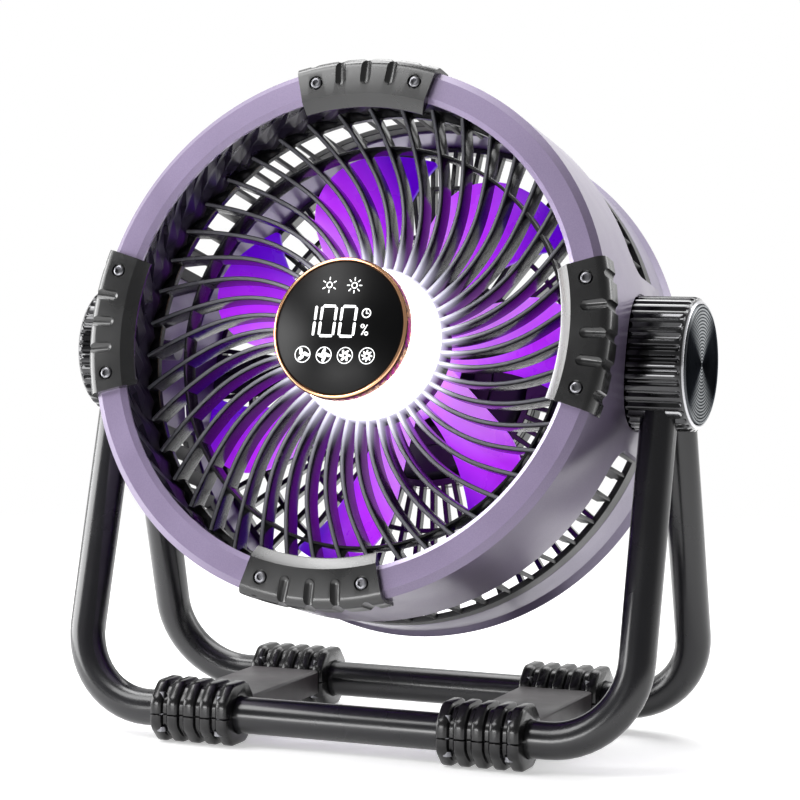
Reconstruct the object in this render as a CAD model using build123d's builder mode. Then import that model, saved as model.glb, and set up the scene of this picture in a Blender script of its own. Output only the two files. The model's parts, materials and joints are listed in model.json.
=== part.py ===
"""Portable camping fan: a tilting drum head on a stand of two bent tubes.

Units are millimetres and +Z is up. The origin is on the floor under the tilt pivot.
The head is modelled on its own planes: x to the right, y up the head and z forwards
along the fan's axis, which is tilted back from the horizontal.
"""
import os
from math import atan2, cos, degrees, radians, sin

from build123d import *

os.makedirs("parts", exist_ok=True)

# ---------------------------------------------------------------- driving dimensions
PIVOT_HEIGHT = 182.5
HEAD_TILT = 14.7

# drum, from its front face to the rear ring; depths run forwards from the pivot
DRUM_FACE = 62.3
RIM_RADIUS = 127.8
DRUM_RADIUS = 129.0
DRUM_WALL = 3.0
VENT_FRONT = 9.0
VENT_REAR = -34.0
REAR_RING_BACK = -64.5
MOUTH_RADIUS = 112.5

# grille
RIB_COUNT = 45
RIB_FRONT = 27.5
RIB_DEPTH = 12.0
RIB_ROOT_RADIUS = 36.0
GUIDE_RING_RADIUS = 96.8
GUIDE_RING_WALL = 1.6

# rotor
BLADE_COUNT = 7
BLADE_TIP_RADIUS = 104.0
ROTOR_HUB_RADIUS = 30.0

# rear grille and motor pod
REAR_RIB_COUNT = 60
POD_RADIUS = 50.0

# stand
TUBE_RADIUS = 8.65
TUBE_WALL = 1.5
LEG_X = 139.5
BAR_HEIGHT = 14.1
BAR_Y = 55.4
LEG_Y_AT_PIVOT = 8.1
BEND_RADIUS = 38.0
FOOT_INNER_X = 51.1
FOOT_LENGTH = 42.7

# hubs
HUB_RADIUS = 31.2
HUB_INNER_X = 124.2
HUB_OUTER_X = 155.4
PIN_RADIUS = 5.0

RUNNING_GAP = 0.05
FIT_GAP = 0.3
SCREW_CLEARANCE = 0.2
CLOSE_GAP = 0.1
# how far a cutting shape runs past what it cuts
CUT_PAST = 1.0

# ---------------------------------------------------------------- planes of the head
tilt = radians(HEAD_TILT)
pivot = Vector(0, 0, PIVOT_HEIGHT)
forward = Vector(0, -cos(tilt), sin(tilt))
head = Plane(origin=pivot, x_dir=(1, 0, 0), z_dir=forward)
head_section = Plane(origin=pivot, x_dir=(1, 0, 0), z_dir=(0, -sin(tilt), -cos(tilt)))
head_side = Plane(origin=pivot, x_dir=forward, z_dir=(1, 0, 0))
head_axis = Axis(pivot, forward)


def section(*points):
    """A closed face on the head's section plane, from (radius, depth) points."""
    with BuildSketch(head_section) as face:
        with BuildLine():
            Polyline(*points, close=True)
        make_face()
    return face.sketch


def polar(radius, angle):
    """The point at a radius and an angle in degrees."""
    return (radius * cos(radians(angle)), radius * sin(radians(angle)))


def write(solid, label):
    """Label one finished piece and write its STEP file."""
    solid.part.label = label
    export_step(solid.part, f"parts/{label}.step")
    print(label, round(solid.part.volume / 1000, 2), "cm3")


# ---------------------------------------------------------------- drum shell
# The front shell: a rim with a flat face and two chamfers, a slightly flared wall, and a
# lobe of wall on each side that runs back to the rear ring and holds the pivot boss.
LIP_THICKNESS = 5.3
LIP_CHAMFER = 2.5
LIP_BACKING = 0.7
FACE_INNER_RADIUS = 114.9
FACE_OUTER_RADIUS = 124.5
CHAMFER_DEPTH = 2.9
LOBE_FRONT_HALF = 41.0
LOBE_REAR_HALF = 42.0
LOBE_ROUNDING = 12.0
LOBE_FOOT_HALF = 75.0
SHELL_OVERLAP = 1.0
REAR_EDGE_CHAMFER = 1.0
BOSS_RADIUS = 35.0
BOSS_INNER_X = 121.3
BOSS_REACH = 10.0
SEAT_RADIUS = 32.0
SEAT_X = 123.5
SCREW_CIRCLE = 120.0
SCREW_HALF_ANGLE = 12.03
SCREW_RADIUS = 1.5

with BuildPart() as pivot_bosses:
    for side in (1, -1):
        with BuildSketch(head_side.offset(side * BOSS_INNER_X)):
            Circle(BOSS_RADIUS)
        extrude(amount=side * BOSS_REACH)
    revolve(
        section(
            (0, VENT_REAR),
            (DRUM_RADIUS - REAR_EDGE_CHAMFER / 2, VENT_REAR),
            (DRUM_RADIUS - REAR_EDGE_CHAMFER / 2, BOSS_RADIUS),
            (0, BOSS_RADIUS),
        ),
        axis=head_axis,
        mode=Mode.INTERSECT,
    )

with BuildPart() as drum_shell:
    with BuildSketch(head_side) as lobe_outline:
        with BuildLine():
            Polyline(
                (VENT_FRONT + SHELL_OVERLAP, LOBE_FOOT_HALF),
                (VENT_FRONT, LOBE_FOOT_HALF),
                (VENT_FRONT, LOBE_FRONT_HALF),
                (VENT_REAR, LOBE_REAR_HALF),
                (VENT_REAR, -LOBE_REAR_HALF),
                (VENT_FRONT, -LOBE_FRONT_HALF),
                (VENT_FRONT, -LOBE_FOOT_HALF),
                (VENT_FRONT + SHELL_OVERLAP, -LOBE_FOOT_HALF),
                close=True,
            )
        make_face()
        roots = [v for v in lobe_outline.vertices() if abs(abs(v.Y) - LOBE_FRONT_HALF) < RUNNING_GAP]
        fillet(roots, radius=LOBE_ROUNDING)
    extrude(amount=DRUM_RADIUS + SHELL_OVERLAP, both=True)
    revolve(
        section(
            (DRUM_RADIUS - DRUM_WALL, VENT_REAR),
            (DRUM_RADIUS - REAR_EDGE_CHAMFER, VENT_REAR),
            (DRUM_RADIUS, VENT_REAR + DRUM_WALL),
            (DRUM_RADIUS, VENT_FRONT + SHELL_OVERLAP),
            (DRUM_RADIUS - DRUM_WALL, VENT_FRONT + SHELL_OVERLAP),
        ),
        axis=head_axis,
        mode=Mode.INTERSECT,
    )
    revolve(
        section(
            (FACE_INNER_RADIUS, DRUM_FACE),
            (FACE_OUTER_RADIUS, DRUM_FACE),
            (RIM_RADIUS, DRUM_FACE - CHAMFER_DEPTH),
            (DRUM_RADIUS, VENT_FRONT),
            (DRUM_RADIUS - DRUM_WALL, VENT_FRONT),
            (RIM_RADIUS - DRUM_WALL, DRUM_FACE - LIP_THICKNESS),
            (MOUTH_RADIUS + LIP_BACKING, DRUM_FACE - LIP_THICKNESS),
            (MOUTH_RADIUS, DRUM_FACE - LIP_CHAMFER),
        ),
        axis=head_axis,
    )
    add(pivot_bosses.part)
    # round seats for the hubs, and the pin bores
    for side in (1, -1):
        with BuildSketch(head_side.offset(side * SEAT_X)):
            Circle(SEAT_RADIUS)
        extrude(amount=side * BOSS_REACH, mode=Mode.SUBTRACT)
    with BuildSketch(head_side):
        Circle(PIN_RADIUS + RUNNING_GAP)
    extrude(amount=DRUM_RADIUS, both=True, mode=Mode.SUBTRACT)
    # screw holes for the corner guards
    with BuildSketch(head.offset(DRUM_FACE)):
        for quarter in range(4):
            for hand in (1, -1):
                with Locations(polar(SCREW_CIRCLE, 90 * quarter + hand * SCREW_HALF_ANGLE)):
                    Circle(SCREW_RADIUS + SCREW_CLEARANCE)
    extrude(amount=-LIP_THICKNESS - SHELL_OVERLAP, mode=Mode.SUBTRACT)
write(drum_shell, "drum_shell")

# ---------------------------------------------------------------- rear ring
RING_INNER = 121.8
RING_FRONT_RADIUS = 125.7
RING_CREASE = -54.0
RING_DRAFT = 0.3
RING_FLARE_RADIUS = 128.0
RING_FLARE_DEPTH = 7.0
RING_BACK_CHAMFER = 2.5
GRILLE_SCREW_COUNT = 6
GRILLE_SCREW_CIRCLE = 123.2
GRILLE_SCREW_RADIUS = 0.8
GRILLE_HEAD_RADIUS = 1.6
GRILLE_HEAD = 0.6
GRILLE_SCREW_LENGTH = 9.0

with BuildPart() as rear_ring:
    revolve(
        section(
            (RING_INNER, VENT_REAR),
            (RING_FRONT_RADIUS, VENT_REAR),
            (RING_FRONT_RADIUS + RING_DRAFT, RING_CREASE),
            (RING_FLARE_RADIUS, RING_CREASE - RING_FLARE_DEPTH),
            (RING_FLARE_RADIUS, REAR_RING_BACK + RING_BACK_CHAMFER),
            (RING_FLARE_RADIUS - RING_BACK_CHAMFER, REAR_RING_BACK),
            (RING_INNER, REAR_RING_BACK),
        ),
        axis=head_axis,
    )
    with BuildSketch(head.offset(REAR_RING_BACK)):
        with PolarLocations(GRILLE_SCREW_CIRCLE, GRILLE_SCREW_COUNT):
            Circle(GRILLE_SCREW_RADIUS)
    extrude(amount=GRILLE_SCREW_LENGTH, mode=Mode.SUBTRACT)
write(rear_ring, "rear_ring")

# ---------------------------------------------------------------- vent bands
# Two black bands of slanted louvres close the drum wall above and below the pivots.
BAND_OUTER = DRUM_RADIUS - DRUM_WALL - FIT_GAP
BAND_INNER = 122.8
BAND_FRONT = 14.0
BAND_START = 17.5
WINDOW_START = 20.0
LOUVRE_PITCH = 6.0
LOUVRE_COUNT = 23
LOUVRE_DEPTH = 7.0
LOUVRE_THICKNESS = 1.8
LOUVRE_SLANT = 32.0
LOUVRE_OVERLAP = 1.0
WINDOW_REAR = -25.0
WINDOW_FRONT = 7.0

for hand, band_name in ((1, "upper_vent_band"), (-1, "lower_vent_band")):
    start = 90 * hand
    with BuildPart() as vent_band:
        arc_length = 180 - 2 * BAND_START
        window_arc = 180 - 2 * WINDOW_START
        revolve(
            section(
                (BAND_INNER, VENT_REAR),
                (BAND_OUTER, VENT_REAR),
                (BAND_OUTER, BAND_FRONT),
                (BAND_INNER, BAND_FRONT),
            ).rotate(head_axis, start - arc_length / 2),
            axis=head_axis,
            revolution_arc=arc_length,
        )
        revolve(
            section(
                (BAND_INNER - CUT_PAST, WINDOW_REAR),
                (BAND_OUTER + CUT_PAST, WINDOW_REAR),
                (BAND_OUTER + CUT_PAST, WINDOW_FRONT),
                (BAND_INNER - CUT_PAST, WINDOW_FRONT),
            ).rotate(head_axis, start - window_arc / 2),
            axis=head_axis,
            revolution_arc=window_arc,
            mode=Mode.SUBTRACT,
        )
        with BuildSketch(head.offset(WINDOW_REAR - LOUVRE_OVERLAP)):
            for index in range(LOUVRE_COUNT):
                angle = start + (index - (LOUVRE_COUNT - 1) / 2) * LOUVRE_PITCH
                with Locations(polar(BAND_OUTER - LOUVRE_DEPTH / 2, angle)):
                    Rectangle(LOUVRE_DEPTH, LOUVRE_THICKNESS, rotation=angle + LOUVRE_SLANT)
        extrude(amount=WINDOW_FRONT - WINDOW_REAR + 2 * LOUVRE_OVERLAP)
    write(vent_band, band_name)

# ---------------------------------------------------------------- front grille
# Swirl ribs run from the lamp seat to a flat flange. A scalloped skirt stands on the
# flange and fills the space behind the rim's lip.
SKIRT_OUTER = RIM_RADIUS - DRUM_WALL - FIT_GAP
SKIRT_FRONT_INNER = 113.4
SKIRT_REAR_INNER = 117.8
SKIRT_FRONT = DRUM_FACE - LIP_THICKNESS
SKIRT_REAR = 20.0
SCALLOP_FRONT_REACH = 115.5
SCALLOP_REAR_REACH = 120.5
SCALLOP_RADIUS = 15.4
RIB_END_RADIUS = 116.5
FLANGE_INNER = 114.0
FLANGE_THICKNESS = 3.5
RIB_WIDTH = 2.2
RIB_NOSE = 1.0
INNER_BEND_RADIUS = 76.0
INNER_BEND_ANGLE = 38.0
OUTER_BEND_RADIUS = 190.0
OUTER_BEND_ANGLE = 11.6
SEAT_OUTER_RADIUS = 37.5
SEAT_RING_WALL = 2.4
SEAT_BACK = 14.0
SEAT_FLOOR = 2.5
RIB_REAR = RIB_FRONT - RIB_DEPTH
RIB_PHASE = 3.6

with BuildPart() as swirl_rib:
    with BuildLine():
        inner_bend = JernArc((RIB_ROOT_RADIUS, 0), (1, 0), INNER_BEND_RADIUS, INNER_BEND_ANGLE)
        JernArc(inner_bend @ 1, inner_bend % 1, OUTER_BEND_RADIUS, OUTER_BEND_ANGLE)
    with BuildSketch(Plane(origin=(RIB_ROOT_RADIUS, 0, 0), x_dir=(0, 1, 0), z_dir=(1, 0, 0))):
        with BuildLine():
            Polyline(
                (-RIB_WIDTH / 2, RIB_REAR),
                (RIB_WIDTH / 2, RIB_REAR),
                (RIB_WIDTH / 2, RIB_FRONT - RIB_NOSE),
                (RIB_WIDTH / 5, RIB_FRONT),
                (-RIB_WIDTH / 5, RIB_FRONT),
                (-RIB_WIDTH / 2, RIB_FRONT - RIB_NOSE),
                close=True,
            )
        make_face()
    sweep()

with BuildPart() as front_grille:
    with BuildSketch(head.offset(SKIRT_REAR - FLANGE_THICKNESS)):
        Circle(SKIRT_OUTER)
        Circle(FLANGE_INNER, mode=Mode.SUBTRACT)
    extrude(amount=FLANGE_THICKNESS)
    with BuildSketch(head.offset(RIB_REAR)):
        Circle(GUIDE_RING_RADIUS + GUIDE_RING_WALL / 2)
        Circle(GUIDE_RING_RADIUS - GUIDE_RING_WALL / 2, mode=Mode.SUBTRACT)
    extrude(amount=RIB_DEPTH - RIB_NOSE)
    with BuildSketch(head.offset(SEAT_BACK)):
        Circle(SEAT_OUTER_RADIUS)
    extrude(amount=RIB_FRONT - SEAT_BACK)
    with BuildSketch(head.offset(SEAT_BACK + SEAT_FLOOR)):
        Circle(SEAT_OUTER_RADIUS - SEAT_RING_WALL)
    extrude(amount=RIB_FRONT - SEAT_BACK, mode=Mode.SUBTRACT)
    rib_on_head = swirl_rib.part.moved(head.location).rotate(head_axis, RIB_PHASE)
    add([rib_on_head.rotate(head_axis, index * 360 / RIB_COUNT) for index in range(RIB_COUNT)])
    # keep the rib ends inside the skirt's foot
    with BuildSketch(head.offset(SKIRT_REAR)):
        Circle(SKIRT_OUTER)
        Circle(RIB_END_RADIUS, mode=Mode.SUBTRACT)
    extrude(amount=RIB_DEPTH, mode=Mode.SUBTRACT)
    # flats that clear the pivot bosses
    for side in (1, -1):
        with BuildSketch(head_side.offset(side * (BOSS_INNER_X - FIT_GAP))):
            Circle(BOSS_RADIUS + FIT_GAP)
        extrude(amount=side * BOSS_REACH, mode=Mode.SUBTRACT)
write(front_grille, "front_grille")

skirt_slope = atan2(SCALLOP_REAR_REACH - SCALLOP_FRONT_REACH, SKIRT_FRONT - SKIRT_REAR)
with BuildPart() as scallop:
    with BuildSketch(
        Plane(
            origin=(SCALLOP_REAR_REACH - SCALLOP_RADIUS, 0, SKIRT_REAR),
            x_dir=(cos(skirt_slope), 0, sin(skirt_slope)),
            z_dir=(-sin(skirt_slope), 0, cos(skirt_slope)),
        )
    ):
        Circle(SCALLOP_RADIUS)
    extrude(amount=SKIRT_FRONT - SKIRT_REAR, both=True)

with BuildPart() as skirt:
    revolve(
        section(
            (SKIRT_REAR_INNER, SKIRT_REAR),
            (SKIRT_OUTER, SKIRT_REAR),
            (SKIRT_OUTER, SKIRT_FRONT),
            (SKIRT_FRONT_INNER, SKIRT_FRONT),
        ),
        axis=head_axis,
    )
    scallop_on_head = scallop.part.moved(head.location).rotate(head_axis, RIB_PHASE)
    add(
        [scallop_on_head.rotate(head_axis, index * 360 / RIB_COUNT) for index in range(RIB_COUNT)],
        mode=Mode.SUBTRACT,
    )
    for side in (1, -1):
        with BuildSketch(head_side.offset(side * (BOSS_INNER_X - FIT_GAP))):
            Circle(BOSS_RADIUS + FIT_GAP)
        extrude(amount=side * BOSS_REACH, mode=Mode.SUBTRACT)
write(skirt, "skirt")

# ---------------------------------------------------------------- lamp and display
# A frosted lamp ring stands in the grille's seat; the bezel on its front holds the
# display window and the display board.
LAMP_BASE_RADIUS = 36.1
LAMP_TOP_RADIUS = 33.0
LAMP_WALL = 2.6
LAMP_TOP = 54.0
LAMP_FOOT_BAND = 1.5
BEZEL_RADIUS = 33.6
BEZEL_FACE = 63.5
BEZEL_CHAMFER = 0.8
WINDOW_RADIUS = 31.4
WINDOW_FACE = 63.2
WINDOW_BACK = 61.0
WINDOW_GAP = 0.2
BEZEL_BORE = 29.6
BOARD_RADIUS = 29.3
BOARD_SEAT = 57.0
BOARD_THICKNESS = 1.6
LED_COUNT = 12
LED_RADIUS = 24.0
LED_SIZE = 5.0
DISPLAY_WIDTH = 40.0
DISPLAY_HEIGHT = 34.0

seat_face = SEAT_BACK + SEAT_FLOOR
plug_radius = SEAT_OUTER_RADIUS - SEAT_RING_WALL - FIT_GAP

with BuildPart() as light_diffuser:
    revolve(
        section(
            (plug_radius, seat_face),
            (plug_radius, RIB_FRONT),
            (LAMP_BASE_RADIUS, RIB_FRONT),
            (LAMP_BASE_RADIUS, RIB_FRONT + LAMP_FOOT_BAND),
            (LAMP_TOP_RADIUS, LAMP_TOP),
            (LAMP_TOP_RADIUS - LAMP_WALL, LAMP_TOP),
            (plug_radius - LAMP_WALL, RIB_FRONT),
            (plug_radius - LAMP_WALL, seat_face),
        ),
        axis=head_axis,
    )
write(light_diffuser, "light_diffuser")

with BuildPart() as led_board:
    with BuildSketch(head.offset(seat_face)):
        Circle(BOARD_RADIUS)
        Circle(BOARD_RADIUS / 3, mode=Mode.SUBTRACT)
    extrude(amount=BOARD_THICKNESS)
    with BuildSketch(head.offset(seat_face + BOARD_THICKNESS)):
        with PolarLocations(LED_RADIUS, LED_COUNT):
            Rectangle(LED_SIZE, LED_SIZE)
    extrude(amount=BOARD_THICKNESS)
write(led_board, "led_board")

with BuildPart() as display_bezel:
    revolve(
        section(
            (BEZEL_RADIUS, LAMP_TOP),
            (BEZEL_RADIUS, BEZEL_FACE - BEZEL_CHAMFER),
            (BEZEL_RADIUS - BEZEL_CHAMFER, BEZEL_FACE),
            (WINDOW_RADIUS + WINDOW_GAP, BEZEL_FACE),
            (WINDOW_RADIUS + WINDOW_GAP, WINDOW_BACK),
            (BEZEL_BORE, WINDOW_BACK),
            (BEZEL_BORE, BOARD_SEAT),
            (BEZEL_BORE - LAMP_WALL, BOARD_SEAT),
            (BEZEL_BORE - LAMP_WALL, LAMP_TOP),
        ),
        axis=head_axis,
    )
write(display_bezel, "display_bezel")

with BuildPart() as display_window:
    with BuildSketch(head.offset(WINDOW_BACK)):
        Circle(WINDOW_RADIUS)
    extrude(amount=WINDOW_FACE - WINDOW_BACK)
write(display_window, "display_window")

with BuildPart() as display_board:
    with BuildSketch(head.offset(BOARD_SEAT)):
        Circle(BOARD_RADIUS)
    extrude(amount=BOARD_THICKNESS)
    with BuildSketch(head.offset(BOARD_SEAT + BOARD_THICKNESS)):
        Rectangle(DISPLAY_WIDTH, DISPLAY_HEIGHT)
    extrude(amount=WINDOW_BACK - BOARD_SEAT - BOARD_THICKNESS)
write(display_board, "display_board")

# ---------------------------------------------------------------- corner guards
# Four rubber guards wrap the rim and are held by two socket screws each. Grooves run out
# over the face, the chamfer and the side of every guard.
GUARD_ARC = 32.0
GUARD_FACE = 65.0
GUARD_RADIUS = 130.0
GUARD_SIDE_BACK = 50.0
GUARD_LIP_RADIUS = 106.5
GUARD_LIP_FALL = 3.6
GUARD_LIP_DROP = 2.0
GUARD_MOUTH_GAP = 0.4
GUARD_SIDE_GAP = 0.5
GUARD_CHAMFER_WIDTH = 3.0
GUARD_CHAMFER_DEPTH = 4.0
GROOVE_ARC = 2.6
GROOVE_START = 118.0
GROOVE_DEPTH = 1.1
GROOVE_SHOULDER = 0.5
GROOVE_ANGLE = 6.0
SCREW_HEAD_RADIUS = 2.75
SCREW_HEAD_BACK = 63.3
SCREW_HEAD_FACE = 65.4
SCREW_HEAD_GAP = 0.6
SCREW_END_INSET = 0.5
SOCKET_RADIUS = 1.7
SOCKET_DEPTH = 1.3

guard_points = [polar(SCREW_CIRCLE, hand * SCREW_HALF_ANGLE) for hand in (1, -1)]

with BuildPart() as corner_guard:
    revolve(
        section(
            (GUARD_LIP_RADIUS, GUARD_FACE - GUARD_LIP_FALL),
            (MOUTH_RADIUS - GUARD_MOUTH_GAP, GUARD_FACE),
            (GUARD_RADIUS - GUARD_CHAMFER_WIDTH, GUARD_FACE),
            (GUARD_RADIUS, GUARD_FACE - GUARD_CHAMFER_DEPTH),
            (GUARD_RADIUS, GUARD_SIDE_BACK),
            (RIM_RADIUS + GUARD_SIDE_GAP, GUARD_SIDE_BACK),
            (RIM_RADIUS + FIT_GAP, DRUM_FACE - CHAMFER_DEPTH - CLOSE_GAP),
            (FACE_OUTER_RADIUS + CLOSE_GAP, DRUM_FACE),
            (FACE_INNER_RADIUS - FIT_GAP, DRUM_FACE),
            (MOUTH_RADIUS - GUARD_MOUTH_GAP, DRUM_FACE - LIP_CHAMFER + FIT_GAP),
            (GUARD_LIP_RADIUS, DRUM_FACE - GUARD_LIP_DROP),
        ).rotate(head_axis, -GUARD_ARC / 2),
        axis=head_axis,
        revolution_arc=GUARD_ARC,
    )
    groove = section(
        (GROOVE_START, GUARD_FACE - GROOVE_DEPTH),
        (GUARD_RADIUS - GUARD_CHAMFER_WIDTH - GROOVE_SHOULDER, GUARD_FACE - GROOVE_DEPTH),
        (GUARD_RADIUS - GROOVE_DEPTH, GUARD_FACE - GUARD_CHAMFER_DEPTH - GROOVE_SHOULDER),
        (GUARD_RADIUS - GROOVE_DEPTH, GUARD_SIDE_BACK - CUT_PAST),
        (GUARD_RADIUS + CUT_PAST, GUARD_SIDE_BACK - CUT_PAST),
        (GUARD_RADIUS + CUT_PAST, GUARD_FACE + CUT_PAST),
        (GROOVE_START, GUARD_FACE + CUT_PAST),
    )
    for index in (-1, 0, 1):
        revolve(
            groove.rotate(head_axis, index * GROOVE_ANGLE - GROOVE_ARC / 2),
            axis=head_axis,
            revolution_arc=GROOVE_ARC,
            mode=Mode.SUBTRACT,
        )
    with BuildSketch(head.offset(SCREW_HEAD_BACK)):
        with Locations(guard_points):
            Circle(SCREW_HEAD_RADIUS + SCREW_HEAD_GAP)
    extrude(amount=GUARD_FACE, mode=Mode.SUBTRACT)
    with BuildSketch(head.offset(DRUM_FACE)):
        with Locations(guard_points):
            Circle(SCREW_RADIUS + SCREW_CLEARANCE)
    extrude(amount=GUARD_FACE, mode=Mode.SUBTRACT)

for quarter, guard_name in enumerate(("right_guard", "top_guard", "left_guard", "bottom_guard")):
    with BuildPart() as guard:
        add(corner_guard.part.rotate(head_axis, 90 * quarter))
    write(guard, guard_name)

with BuildPart() as guard_screws:
    for quarter in range(4):
        for hand in (1, -1):
            place = polar(SCREW_CIRCLE, 90 * quarter + hand * SCREW_HALF_ANGLE)
            with BuildSketch(head.offset(SCREW_HEAD_BACK)):
                with Locations(place):
                    Circle(SCREW_HEAD_RADIUS)
            extrude(amount=SCREW_HEAD_FACE - SCREW_HEAD_BACK)
            with BuildSketch(head.offset(SCREW_HEAD_FACE)):
                with Locations(place):
                    RegularPolygon(SOCKET_RADIUS, 6)
            extrude(amount=-SOCKET_DEPTH, mode=Mode.SUBTRACT)
            with BuildSketch(head.offset(SCREW_HEAD_BACK)):
                with Locations(place):
                    Circle(SCREW_RADIUS)
            extrude(amount=-(SCREW_HEAD_BACK - DRUM_FACE + LIP_THICKNESS - SCREW_END_INSET))
write(guard_screws, "guard_screws")

# ---------------------------------------------------------------- rear grille
# Straight ribs and two rings between the motor pod and the rear ring, with a broad web on
# each side; an outer flange is screwed to the back of the rear ring.
REAR_GRILLE_FRONT = -58.0
REAR_GRILLE_BACK = -63.0
REAR_RIB_WIDTH = 2.5
REAR_RING_RADII = (76.0, 100.0)
REAR_OUTER_RADIUS = RING_INNER - FIT_GAP
REAR_OUTER_INNER = 118.8
REAR_HUB_OUTER = 54.0
WEB_WIDTH = 20.0
FLANGE_RADIUS = 125.0
REAR_FLANGE_THICKNESS = 1.0
REAR_RIB_OVERLAP = 1.0

with BuildPart() as rear_grille:
    with BuildSketch(head.offset(REAR_GRILLE_BACK)):
        Circle(REAR_OUTER_RADIUS)
        Circle(REAR_OUTER_INNER, mode=Mode.SUBTRACT)
        for radius in REAR_RING_RADII:
            with BuildSketch(mode=Mode.PRIVATE) as ring_face:
                Circle(radius + REAR_RIB_WIDTH / 2)
                Circle(radius - REAR_RIB_WIDTH / 2, mode=Mode.SUBTRACT)
            add(ring_face.sketch)
        with BuildSketch(mode=Mode.PRIVATE) as hub_face:
            Circle(REAR_HUB_OUTER)
            Circle(POD_RADIUS + FIT_GAP, mode=Mode.SUBTRACT)
        add(hub_face.sketch)
        rib_length = REAR_OUTER_INNER - REAR_HUB_OUTER + 2 * REAR_RIB_OVERLAP
        rib_middle = (REAR_OUTER_INNER + REAR_HUB_OUTER) / 2
        with PolarLocations(rib_middle, REAR_RIB_COUNT):
            Rectangle(rib_length, REAR_RIB_WIDTH)
        with PolarLocations(rib_middle, 2):
            Rectangle(rib_length, WEB_WIDTH)
    extrude(amount=REAR_GRILLE_FRONT - REAR_GRILLE_BACK)
    with BuildSketch(head.offset(REAR_RING_BACK)):
        Circle(REAR_OUTER_RADIUS)
        Circle(REAR_OUTER_INNER, mode=Mode.SUBTRACT)
    extrude(amount=REAR_GRILLE_FRONT - REAR_RING_BACK)
    with BuildSketch(head.offset(REAR_RING_BACK)):
        Circle(FLANGE_RADIUS)
        Circle(REAR_OUTER_INNER, mode=Mode.SUBTRACT)
        with PolarLocations(GRILLE_SCREW_CIRCLE, GRILLE_SCREW_COUNT):
            Circle(GRILLE_SCREW_RADIUS + CLOSE_GAP, mode=Mode.SUBTRACT)
    extrude(amount=-REAR_FLANGE_THICKNESS)
    with BuildSketch(head.offset(REAR_RING_BACK - REAR_FLANGE_THICKNESS)):
        with PolarLocations(GRILLE_SCREW_CIRCLE, GRILLE_SCREW_COUNT):
            Circle(GRILLE_HEAD_RADIUS + CLOSE_GAP)
    extrude(amount=GRILLE_HEAD, mode=Mode.SUBTRACT)
write(rear_grille, "rear_grille")

with BuildPart() as grille_screws:
    with BuildSketch(head.offset(REAR_RING_BACK - REAR_FLANGE_THICKNESS)):
        with PolarLocations(GRILLE_SCREW_CIRCLE, GRILLE_SCREW_COUNT):
            Circle(GRILLE_HEAD_RADIUS)
    extrude(amount=GRILLE_HEAD)
    with BuildSketch(head.offset(REAR_RING_BACK - REAR_FLANGE_THICKNESS)):
        with PolarLocations(GRILLE_SCREW_CIRCLE, GRILLE_SCREW_COUNT):
            Circle(GRILLE_SCREW_RADIUS)
    extrude(amount=GRILLE_SCREW_LENGTH)
write(grille_screws, "grille_screws")

# ---------------------------------------------------------------- motor pod
# A round case in the middle of the rear grille holds the cells, the control board and the
# keys; its front wall carries the motor on a hollow bracket.
POD_BACK = -85.2
POD_WALL = 2.4
POD_FRONT_WALL = -56.0
POD_NOSE_RADIUS = 47.5
POD_COLLAR_RADIUS = 54.0
POD_COLLAR = 3.0
COVER_THICKNESS = 2.5
COVER_SCREW_CIRCLE = 43.6
COVER_SCREW_COUNT = 6
COVER_SCREW_HEAD = 1.2
COVER_SCREW_END = 2.0
POST_RADIUS = 3.6
SCREW_HOLE_DEPTH = 10.0
pod_front = POD_FRONT_WALL + POD_WALL
cover_face = POD_BACK + COVER_THICKNESS

with BuildPart() as rear_housing:
    revolve(
        section(
            (0, pod_front),
            (POD_NOSE_RADIUS, pod_front),
            (POD_RADIUS, pod_front - POD_WALL),
            (POD_RADIUS, REAR_GRILLE_BACK),
            (POD_COLLAR_RADIUS, REAR_GRILLE_BACK),
            (POD_COLLAR_RADIUS, REAR_GRILLE_BACK - POD_COLLAR),
            (POD_RADIUS, REAR_GRILLE_BACK - POD_COLLAR),
            (POD_RADIUS, cover_face),
            (POD_RADIUS - POD_WALL, cover_face),
            (POD_RADIUS - POD_WALL, POD_FRONT_WALL),
            (0, POD_FRONT_WALL),
        ),
        axis=head_axis,
    )
    with BuildSketch(head.offset(cover_face)):
        with PolarLocations(COVER_SCREW_CIRCLE, COVER_SCREW_COUNT):
            Circle(POST_RADIUS)
    extrude(amount=POD_FRONT_WALL - cover_face)
    with BuildSketch(head.offset(cover_face)):
        with PolarLocations(COVER_SCREW_CIRCLE, COVER_SCREW_COUNT):
            Circle(SCREW_RADIUS)
    extrude(amount=SCREW_HOLE_DEPTH, mode=Mode.SUBTRACT)
write(rear_housing, "rear_housing")

# the flat back cover, with holes for the keys, a cut-out for the charging port and two
# lugs with a pin for the port's flap
KEY_RADIUS = 5.0
KEY_SPACING = 16.0
KEY_UP = 8.0
KEY_FLANGE_RADIUS = 6.6
KEY_FLANGE = 1.4
KEY_PROUD = 1.5
KEY_TRAVEL = 1.0
KEY_CHAMFER = 0.6
PORT_DOWN = -34.0
PORT_WIDTH = 9.2
PORT_HEIGHT = 3.4
PORT_CLEARANCE = 0.5
PORT_INSET = 0.4
PORT_WALL = 0.4
PORT_BASE = 1.0
FLAP_WIDTH = 14.0
FLAP_LENGTH = 13.0
FLAP_THICKNESS = 1.6
FLAP_GAP = 0.05
HINGE_UP = -27.0
HINGE_RADIUS = 1.4
HINGE_PIN_RADIUS = 0.6
LUG_WIDTH = 2.0

hinge_depth = POD_BACK - FLAP_GAP - HINGE_RADIUS
key_columns = {"power_button": -KEY_SPACING, "light_button": 0, "timer_button": KEY_SPACING}
hinge_plane = Plane(
    origin=pivot + forward * hinge_depth + head.y_dir * HINGE_UP, x_dir=forward, z_dir=(1, 0, 0)
)

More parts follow.
